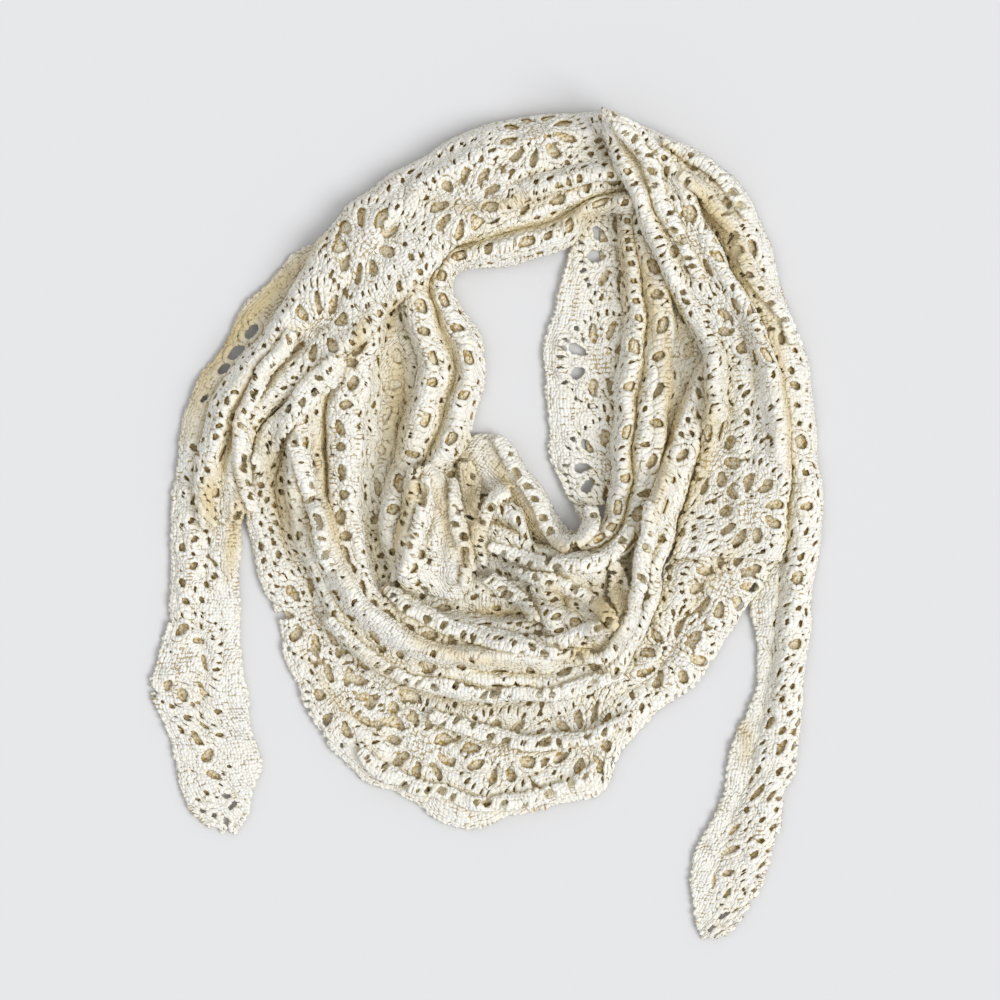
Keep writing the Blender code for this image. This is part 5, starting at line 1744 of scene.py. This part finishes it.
class Graph:
    """A short way to make a material, add nodes to it and join them."""

    AIR_SAMPLES = 4
    MIX_NUMBERS = 5
    NUB_SMOOTHNESS = 0.22

    def __init__(self, name: str) -> None:
        """Start a new material with its own node tree.

        Args:
            name: the material's name.
        """
        self.material = bpy.data.materials.new(name)
        self.material.use_nodes = True
        self.tree = self.material.node_tree

    def node(self, kind: str, *inputs: object, **settings: object) -> Node:
        """Add one node.

        Args:
            kind: the node's type without its prefix.
            inputs: what goes into its sockets in order; None leaves a socket as it is.
            settings: the node's own properties.

        Returns:
            The new node.
        """
        made = self.tree.nodes.new("ShaderNode" + kind)
        for name, value in settings.items():
            setattr(made, name, value)
        for socket, value in zip(made.inputs, inputs):
            self.feed(socket, value)
        return made

    def feed(self, socket: Socket, value: object) -> None:
        """Link a socket, or set its value.

        Args:
            socket: the socket that is fed.
            value: another node's socket, or a value; None leaves the socket as it is.
        """
        if isinstance(value, Socket):
            self.tree.links.new(value, socket)
        elif value is not None:
            socket.default_value = value

    def shade(self, looks: dict[str, object]) -> Material:
        """Give the shader its looks.

        Args:
            looks: what goes into its sockets, by their names.

        Returns:
            The finished material.
        """
        shader = self.tree.nodes["Principled BSDF"]
        for name, value in looks.items():
            self.feed(shader.inputs[name], value)
        return self.material

    def math(self, operation: str, *inputs: object) -> Socket:
        """The result of a sum on numbers."""
        return self.node("Math", *inputs, operation=operation).outputs[0]

    def times(self, first: Socket, second: object) -> Socket:
        """The product of two numbers."""
        return self.math("MULTIPLY", first, second)

    def rest(self, value: Socket) -> Socket:
        """What a value lacks of one."""
        return self.math("SUBTRACT", 1.0, value)

    def most(self, *values: Socket) -> Socket:
        """The largest of some values."""
        return reduce(lambda one, other: self.math("MAXIMUM", one, other), values)

    def vector(self, operation: str, *inputs: object) -> Socket:
        """The result of a sum on vectors."""
        return self.node("VectorMath", *inputs, operation=operation).outputs[0]

    def ease(self, value: Socket, span: Span) -> Socket:
        """A value eased from zero at the span's start to one at its end."""
        return self.node("MapRange", value, *span, 0.0, 1.0,
                         interpolation_type="SMOOTHSTEP").outputs[0]

    def blend(self, share: object, first: object, second: object) -> Socket:
        """The first colour, and as large a share of the second as is given."""
        unused = (None,) * self.MIX_NUMBERS
        return self.node("Mix", share, *unused, first, second, data_type="RGBA").outputs[2]

    def cells(self, place: Socket, feature: str, unevenness: float) -> Socket:
        """The distance pattern of even cells, one to a unit of the place.

        Args:
            place: where the pattern is read.
            feature: which distance it gives.
            unevenness: how far the cells stray from an even lattice.

        Returns:
            The distance.
        """
        made = self.node("TexVoronoi", place, None, 1.0, voronoi_dimensions="2D",
                         feature=feature)
        made.inputs["Randomness"].default_value = unevenness
        if feature == "SMOOTH_F1":
            made.inputs["Smoothness"].default_value = self.NUB_SMOOTHNESS
        return made.outputs["Distance"]

    def attribute(self, name: str, output: str) -> Socket:
        """One of the patterns that a stretch keeps on its points."""
        return self.node("Attribute", attribute_name=name).outputs[output]

    def place(self, scale: float) -> Socket:
        """Object coordinates, scaled."""
        return self.vector("MULTIPLY", self.node("TexCoord").outputs["Object"], (scale,) * 3)

    def noise(self, scale: float, detail: float = 1.0, output: int = 0) -> Socket:
        """An uneven value, or with output 1 an uneven vector, from place to place."""
        return self.node("TexNoise", self.place(scale), None, 1.0, detail).outputs[output]

    def open_air(self, reach: float) -> Socket:
        """How free of cloth the surroundings are, one where nothing is near."""
        return self.node("AmbientOcclusion", None, reach,
                         samples=self.AIR_SAMPLES).outputs["AO"]

    def relief(self, height: Socket, strength: float, depth: float) -> Socket:
        """The facing of a surface that stands up by a share of a depth in metres.

        Args:
            height: how far each place stands up.
            strength: how much the relief shows.
            depth: what a height of one means in metres.

        Returns:
            The facing.
        """
        bump = self.node("Bump", strength, depth)
        self.feed(bump.inputs["Height"], height)
        return bump.outputs[0]


@dataclass(frozen=True)
class YarnFinish:
    """Matt cream cotton yarn in crochet stitches, with painted shade in its folds, between its
    nubs and in its small gaps.

    Reaches, pitches and widths are in metres. A span says where a pattern starts and where it
    is full, and a scale how often it changes in a metre.
    """

    name: str = "cream_cotton_crochet"
    lit: Colour = (0.926, 0.930, 0.908, 1.0)
    second: Colour = (0.912, 0.900, 0.840, 1.0)
    # painted shade colour: warm tan where folds close the yarn in, along the listed hollows and
    # between the stitches' nubs
    between: Colour = (0.870, 0.750, 0.450, 1.0)
    # painted shade colour: brown for the hollows between folds and for the small gaps, slots and
    # slits
    deep: Colour = (0.500, 0.335, 0.090, 1.0)
    tint_scale: float = 90.0
    tint_detail: float = 3.0
    tint_span: Span = (0.35, 0.75)
    stitch_long: float = 0.0024
    stitch_wide: float = 0.0021
    stitch_unevenness: float = 0.48
    stitch_drift: float = 0.0012
    drift_scale: float = 260.0
    pit_scale: float = 160.0
    pit_unevenness: float = 0.55
    pit_span: Span = (0.56, 0.80)
    pit_off_cord: Span = (0.0009, 0.0017)
    groove_start: Span = (0.0021, 0.0028)
    groove_end: Span = (0.0030, 0.0037)
    groove_scale: float = 420.0
    groove_span: Span = (0.53, 0.62)
    ladder_rows: float = 0.0150
    ladder_pitch: float = 0.0029
    ladder_drift: float = 0.9
    ladder_drift_scale: float = 45.0
    ladder_width: Span = (0.07, 0.12)
    ladder_scale: float = 70.0
    ladder_span: Span = (0.50, 0.60)
    slit_span: Span = (0.50, 0.95)
    disc_rim: Span = (0.0086, 0.0100)
    disc_cell: float = 0.0031
    disc_unevenness: float = 0.35
    disc_span: Span = (0.46, 0.60)
    shade_reach: float = 0.012
    shade_span: Span = (0.25, 0.95)
    shade_share: float = 0.9
    valley_shade_span: Span = (0.28, 0.62)
    valley_shade_share: float = 0.36
    hollow_shade_share: float = 0.38
    dark_share: float = 0.85
    nub_height: float = 1.6
    dark_depth: float = 0.8
    fibre_height: float = 0.22
    fibre_scale: float = 1400.0
    fibre_detail: float = 2.0
    bump_height: float = 0.0011
    bump_strength: float = 0.80
    roughness: float = 0.92
    sheen: float = 0.12
    gloss: float = 0.2

    def material(self) -> Material:
        """Build the yarn's material.

        Returns:
            The material.
        """
        graph = Graph(self.name)
        cloth = self.stitch_place(graph)
        lumps = graph.cells(cloth, "F1", self.stitch_unevenness)
        nubs = graph.cells(cloth, "SMOOTH_F1", self.stitch_unevenness)
        # painted shade in the small gaps where stitches meet, the flower discs' slots, the groove
        # by each cord and the ladder slits
        dark = graph.most(self.pits(graph, lumps), self.disc(graph), self.groove(graph),
                          self.ladder(graph))
        hollow_shade = graph.attribute("hollow_shade", "Fac")
        # painted shade: tan where ambient occlusion finds the yarn closed in, along the listed
        # hollows, and between the stitches' nubs
        closed_in = graph.rest(graph.ease(graph.open_air(self.shade_reach), self.shade_span))
        shade = graph.times(graph.most(closed_in, hollow_shade), self.shade_share)
        valley_shade = graph.times(graph.ease(nubs, self.valley_shade_span), self.valley_shade_share)
        tint = graph.noise(self.tint_scale, self.tint_detail)
        yarn = graph.blend(graph.ease(tint, self.tint_span), self.lit, self.second)
        yarn = graph.blend(graph.most(shade, valley_shade), yarn, self.between)
        # deeper painted shade, in brown, along the hollows between folds
        yarn = graph.blend(graph.times(hollow_shade, self.hollow_shade_share), yarn, self.deep)
        # painted shade, in brown, in those small gaps, slots and slits
        yarn = graph.blend(graph.times(dark, self.dark_share), yarn, self.deep)
        height = graph.rest(graph.times(nubs, self.nub_height))
        height = graph.math("SUBTRACT", height, graph.times(dark, self.dark_depth))
        fibre = graph.noise(self.fibre_scale, self.fibre_detail)
        height = graph.math("ADD", height, graph.times(fibre, self.fibre_height))
        graph.material.diffuse_color = self.lit
        return graph.shade({
            "Base Color": yarn,
            "Normal": graph.relief(height, self.bump_strength, self.bump_height),
            "Roughness": self.roughness,
            "Sheen Weight": self.sheen,
            "Specular IOR Level": self.gloss,
        })

    def stitch_place(self, graph: Graph) -> Socket:
        """Places on the cloth counted in stitches, a little uneven.

        Args:
            graph: the material's nodes.

        Returns:
            The places.
        """
        drift = graph.vector("SUBTRACT", graph.noise(self.drift_scale, output=1), (0.5,) * 3)
        drift = graph.vector("MULTIPLY", drift, (self.stitch_drift, self.stitch_drift, 0.0))
        place = graph.vector("ADD", graph.attribute("cloth", "Vector"), drift)
        return graph.vector("MULTIPLY", place,
                            (1.0 / self.stitch_long, 1.0 / self.stitch_wide, 0.0))

    def groove(self, graph: Graph) -> Socket:
        """Painted shade in the broken groove just outside the cord round a large gap.

        Args:
            graph: the material's nodes.

        Returns:
            How dark each place is.
        """
        apart = graph.attribute("cord", "Fac")
        line = graph.times(graph.ease(apart, self.groove_start),
                           graph.rest(graph.ease(apart, self.groove_end)))
        return graph.times(line, graph.ease(graph.noise(self.groove_scale), self.groove_span))

    def ladder(self, graph: Graph) -> Socket:
        """Painted shade in rows of short slits between the posts of tall stitches, along the
        cloth.

        Args:
            graph: the material's nodes.

        Returns:
            How dark each place is.
        """
        parts = graph.node("SeparateXYZ", graph.attribute("cloth", "Vector")).outputs
        drift = graph.times(graph.noise(self.ladder_drift_scale), self.ladder_drift)
        line = graph.math("ADD", graph.math("DIVIDE", parts[1], self.ladder_rows), drift)
        row = graph.math("ABSOLUTE", graph.math("SUBTRACT", graph.math("FRACT", line), 0.5))
        post = graph.math("COSINE", graph.times(parts[0], math.tau / self.ladder_pitch))
        slit = graph.times(graph.rest(graph.ease(row, self.ladder_width)),
                           graph.ease(post, self.slit_span))
        return graph.times(slit, graph.ease(graph.noise(self.ladder_scale), self.ladder_span))

    def pits(self, graph: Graph, lumps: Socket) -> Socket:
        """Painted shade in small specks where stitches meet, more of them in open work than by a
        cord.

        Args:
            graph: the material's nodes.
            lumps: the ways from the stitches' middles.

        Returns:
            How dark each place is.
        """
        spread = graph.math("SUBTRACT", graph.noise(self.pit_scale), 0.5)
        size = graph.times(spread, self.pit_unevenness)
        corner = graph.ease(graph.math("ADD", size, lumps), self.pit_span)
        return graph.times(corner, graph.ease(graph.attribute("gap", "Fac"), self.pit_off_cord))

    def disc(self, graph: Graph) -> Socket:
        """Painted shade in the slots of the lattice in the middle of a flower.

        Args:
            graph: the material's nodes.

        Returns:
            How dark each place is.
        """
        place = graph.attribute("motif", "Vector")
        apart = graph.node("VectorMath", place, operation="LENGTH").outputs["Value"]
        scale = 1.0 / self.disc_cell
        cell = graph.cells(graph.vector("MULTIPLY", place, (scale, scale, 0.0)), "F1",
                           self.disc_unevenness)
        return graph.times(graph.ease(cell, self.disc_span),
                           graph.rest(graph.ease(apart, self.disc_rim)))


@dataclass(frozen=True)
class ShadeFinish:
    """The same yarn deep in the bundle, darker and warmer: painted shade of the upper layers."""

    name: str = "shaded_cotton_crochet"
    # painted shade: all three colours stand for yarn in shade, darker still where closed in and
    # between stitches
    lit: Colour = (0.90, 0.84, 0.67, 1.0)
    shaded: Colour = (0.78, 0.59, 0.25, 1.0)
    deep: Colour = (0.50, 0.34, 0.10, 1.0)
    stitch: float = 0.0021
    stitch_span: Span = (0.50, 0.86)
    bump_height: float = 0.0013
    bump_strength: float = 1.0
    shade_reach: float = 0.009
    shade_span: Span = (0.12, 0.62)
    roughness: float = 0.95
    gloss: float = 0.1

    def material(self) -> Material:
        """Build the material of the hidden layers.

        Returns:
            The material.
        """
        graph = Graph(self.name)
        place = graph.place(1.0 / self.stitch)
        cells = graph.node("TexVoronoi", place, None, 1.0, feature="F1").outputs["Distance"]
        # painted shade: the shaded colour where ambient occlusion finds the yarn closed in
        light = graph.ease(graph.open_air(self.shade_reach), self.shade_span)
        yarn = graph.blend(light, self.shaded, self.lit)
        # painted shade between the stitches
        yarn = graph.blend(graph.ease(cells, self.stitch_span), yarn, self.deep)
        graph.material.diffuse_color = self.lit
        return graph.shade({
            "Base Color": yarn,
            "Normal": graph.relief(graph.rest(cells), self.bump_strength, self.bump_height),
            "Roughness": self.roughness,
            "Specular IOR Level": self.gloss,
        })


@dataclass
class HiddenFolds:
    """The layers inside the bundle, a solid with the soft ridges of folded lace."""

    node: str
    merge: float = 0.00002
    cuts: int = 5
    smooth_rounds: int = 3
    smooth_share: float = 0.5
    fold_depth: float = 0.0010
    folds: Wander = Wander(31, 0.011)
    pit_depth: float = 0.0005
    pits: Wander = Wander(32, 0.005)
    least_height: float = 0.0012

    def build(self, finish: Material) -> Object:
        """Make the piece from a merged copy of its solid, and tie it to the frame.

        Args:
            finish: the material of shaded yarn.

        Returns:
            The finished piece.
        """
        body = bmesh.new()
        body.from_mesh(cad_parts[self.node].data)
        bmesh.ops.remove_doubles(body, verts=body.verts[:], dist=self.merge)
        bmesh.ops.subdivide_edges(body, edges=body.edges[:], cuts=self.cuts,
                                  use_grid_fill=True)
        upper = [vert for vert in body.verts if vert.co.z > self.least_height]
        for _ in range(self.smooth_rounds):
            bmesh.ops.smooth_vert(body, verts=upper, factor=self.smooth_share, use_axis_z=True)
        x = np.array([vert.co.x for vert in upper])
        y = np.array([vert.co.y for vert in upper])
        drop = self.fold_depth * self.folds.swell(x, y) + self.pit_depth * self.pits.swell(x, y)
        for vert, depth in zip(upper, drop):
            vert.co.z = max(vert.co.z - float(max(depth, 0.0)), self.least_height * 0.5)
        mesh = bpy.data.meshes.new(self.node + "_lace")
        body.to_mesh(mesh)
        body.free()
        mesh.shade_smooth()
        mesh.materials.append(finish)
        piece = add_object(mesh.name, mesh)
        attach(piece, "root")
        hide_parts(self.node)
        return piece


@dataclass(frozen=True)
class FloorFinish:
    """Plain pale matt card."""

    name: str = "pale_floor"
    colour: Colour = (0.728, 0.732, 0.748, 1.0)

    def material(self) -> Material:
        """Build the floor's material."""
        return Graph(self.name).shade({
            "Base Color": self.colour, "Roughness": 1.0, "Specular IOR Level": 0.0})


@dataclass
class Studio:
    """The floor, the light and the camera that looks straight down, in metres."""

    floor_half_size: float = 4.0
    floor_drop: float = 0.0004
    camera_distance: float = 2.4
    camera_reach: float = 10.0
    sensor: float = 36.0
    image_units: float = 1000.0
    key_energy: float = 1.76
    key_spread_deg: float = 34.0
    key_heading: tuple[float, float, float] = (0.62, -0.30, 0.80)
    sky_colour: Colour = (1.0, 1.0, 1.0, 1.0)
    sky_strength: float = 0.68

    def build(self) -> None:
        """Set up the stage."""
        self.build_floor()
        self.build_light()
        self.build_camera()
        bpy.context.scene.view_settings.view_transform = "Standard"

    def build_floor(self) -> None:
        """Lay the floor just under the scarf."""
        body = bmesh.new()
        bmesh.ops.create_grid(body, x_segments=1, y_segments=1, size=self.floor_half_size)
        bmesh.ops.translate(body, verts=body.verts[:], vec=(0.0, 0.0, -self.floor_drop))
        mesh = bpy.data.meshes.new("pale_floor")
        body.to_mesh(mesh)
        body.free()
        mesh.materials.append(FloorFinish().material())
        add_object("pale_floor", mesh)

    def build_light(self) -> None:
        """A broad soft light from the right and an even sky."""
        key = bpy.data.lights.new("key_light", "SUN")
        key.energy = self.key_energy
        key.angle = math.radians(self.key_spread_deg)
        holder = add_object("key_light", key)
        holder.rotation_mode = "QUATERNION"
        holder.rotation_quaternion = Vector(self.key_heading).to_track_quat("Z", "Y")
        world = bpy.data.worlds.new("even_sky")
        world.use_nodes = True
        sky = world.node_tree.nodes["Background"]
        sky.inputs["Color"].default_value = self.sky_colour
        sky.inputs["Strength"].default_value = self.sky_strength
        bpy.context.scene.world = world

    def build_camera(self) -> None:
        """A long lens straight above the middle of the picture."""
        centre = plan_to_metres(0.5 * self.image_units, 0.5 * self.image_units)
        camera = bpy.data.cameras.new("camera")
        camera.sensor_width = self.sensor
        camera.lens = self.sensor * self.camera_distance / (self.image_units * PLAN_UNIT)
        camera.clip_end = self.camera_reach
        holder = add_object("camera", camera)
        holder.location = (*centre, self.camera_distance)
        bpy.context.scene.camera = holder


class Laid(NamedTuple):
    """A stretch, how it is held, what it lies on, and what its under layer covers of it."""

    stretch: Stretch
    held: Held
    rests_on: tuple[str, ...]
    under_across: Span
    under_along: Span


# every stretch in laying order
LAYING = (
    Laid(LEFT_TAIL, Held.LAID, (), (0.12, 0.88), (0.34, 0.93)),
    Laid(RIGHT_TAIL, Held.FOLDED, (), (0.10, 0.90), (0.03, 0.95)),
    Laid(INNER_PANEL, Held.LAID, (), (0.40, 0.98), (0.02, 0.98)),
    Laid(INNER_RIM, Held.FOLDED, ("inner_panel",), (0.06, 0.94), (0.04, 0.96)),
    Laid(DRAPE, Held.LAID, ("hidden_folds_front",), (0.12, 0.96), (0.04, 0.985)),
    Laid(RIGHT_RIDGES, Held.FOLDED, ("inner_panel", "hidden_folds_front"),
         (0.04, 0.96), (0.02, 0.98)),
    Laid(SECOND_SWAG, Held.FOLDED, ("front_drape", "hidden_folds_front"),
         (0.05, 0.95), (0.02, 0.98)),
    Laid(THIRD_SWAG, Held.FOLDED, ("front_drape",), (0.10, 0.90), (0.02, 0.98)),
    Laid(NECK_LOOP, Held.FOLDED, ("left_ridge_and_second_swag", "hidden_folds_back"),
         (0.06, 0.94), (0.0, 1.0)),
    Laid(CENTRE_FLAP, Held.LAID, ("left_ridge_and_second_swag", "right_ridges_and_first_swag"),
         (0.08, 0.92), (0.06, 0.94)),
    Laid(CRUMPLE, Held.GATHERED, ("right_ridges_and_first_swag",), (0.08, 0.92), (0.06, 0.94)),
    Laid(ARCH, Held.LAID, ("neck_loop", "hidden_folds_back"), (0.04, 0.96), (0.02, 0.97)),
    Laid(PANEL, Held.LAID, ("right_ridges_and_first_swag", "right_outer_and_tail"),
         (0.05, 0.95), (0.03, 0.97)),
)
HIDDEN_NODES = ("hidden_folds_front", "hidden_folds_back")
FIRST_SEED = 401
RIDGE_SEED = 501


def report(piece: Object) -> None:
    """Log that a piece is made."""
    LOG.info("%s: %d faces", piece.name, len(piece.data.polygons))


def main() -> None:
    """Dress the whole neckerchief and set up its studio."""
    logging.basicConfig(level=logging.INFO, format="%(message)s")
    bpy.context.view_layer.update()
    yarn = YarnFinish().material()
    shade = ShadeFinish().material()
    hang = Hang()
    sheets = [Sheet(laid.stretch, hang) for laid in LAYING]
    ridges = [Sheet(ridge_stretch(ridge), hang) for ridge in RIDGES]
    lay_sheets(sheets + ridges)
    for order, (sheet, ridge) in enumerate(zip(ridges, RIDGES)):
        seed = RIDGE_SEED + order
        report(LaceStretch(sheet, Held.FOLDED, (ridge.rests_on,), seed).build(yarn))
    for order, (sheet, laid) in enumerate(zip(sheets, LAYING)):
        report(LaceStretch(sheet, laid.held, laid.rests_on, FIRST_SEED + order).build(yarn))
        below = laid.rests_on or HIDDEN_NODES[:1]
        report(UnderLayer(sheet, below, laid.under_across, laid.under_along).build(shade))
    for node in HIDDEN_NODES:
        report(HiddenFolds(node).build(shade))
    Studio().build()


if __name__ == "__main__":
    main()
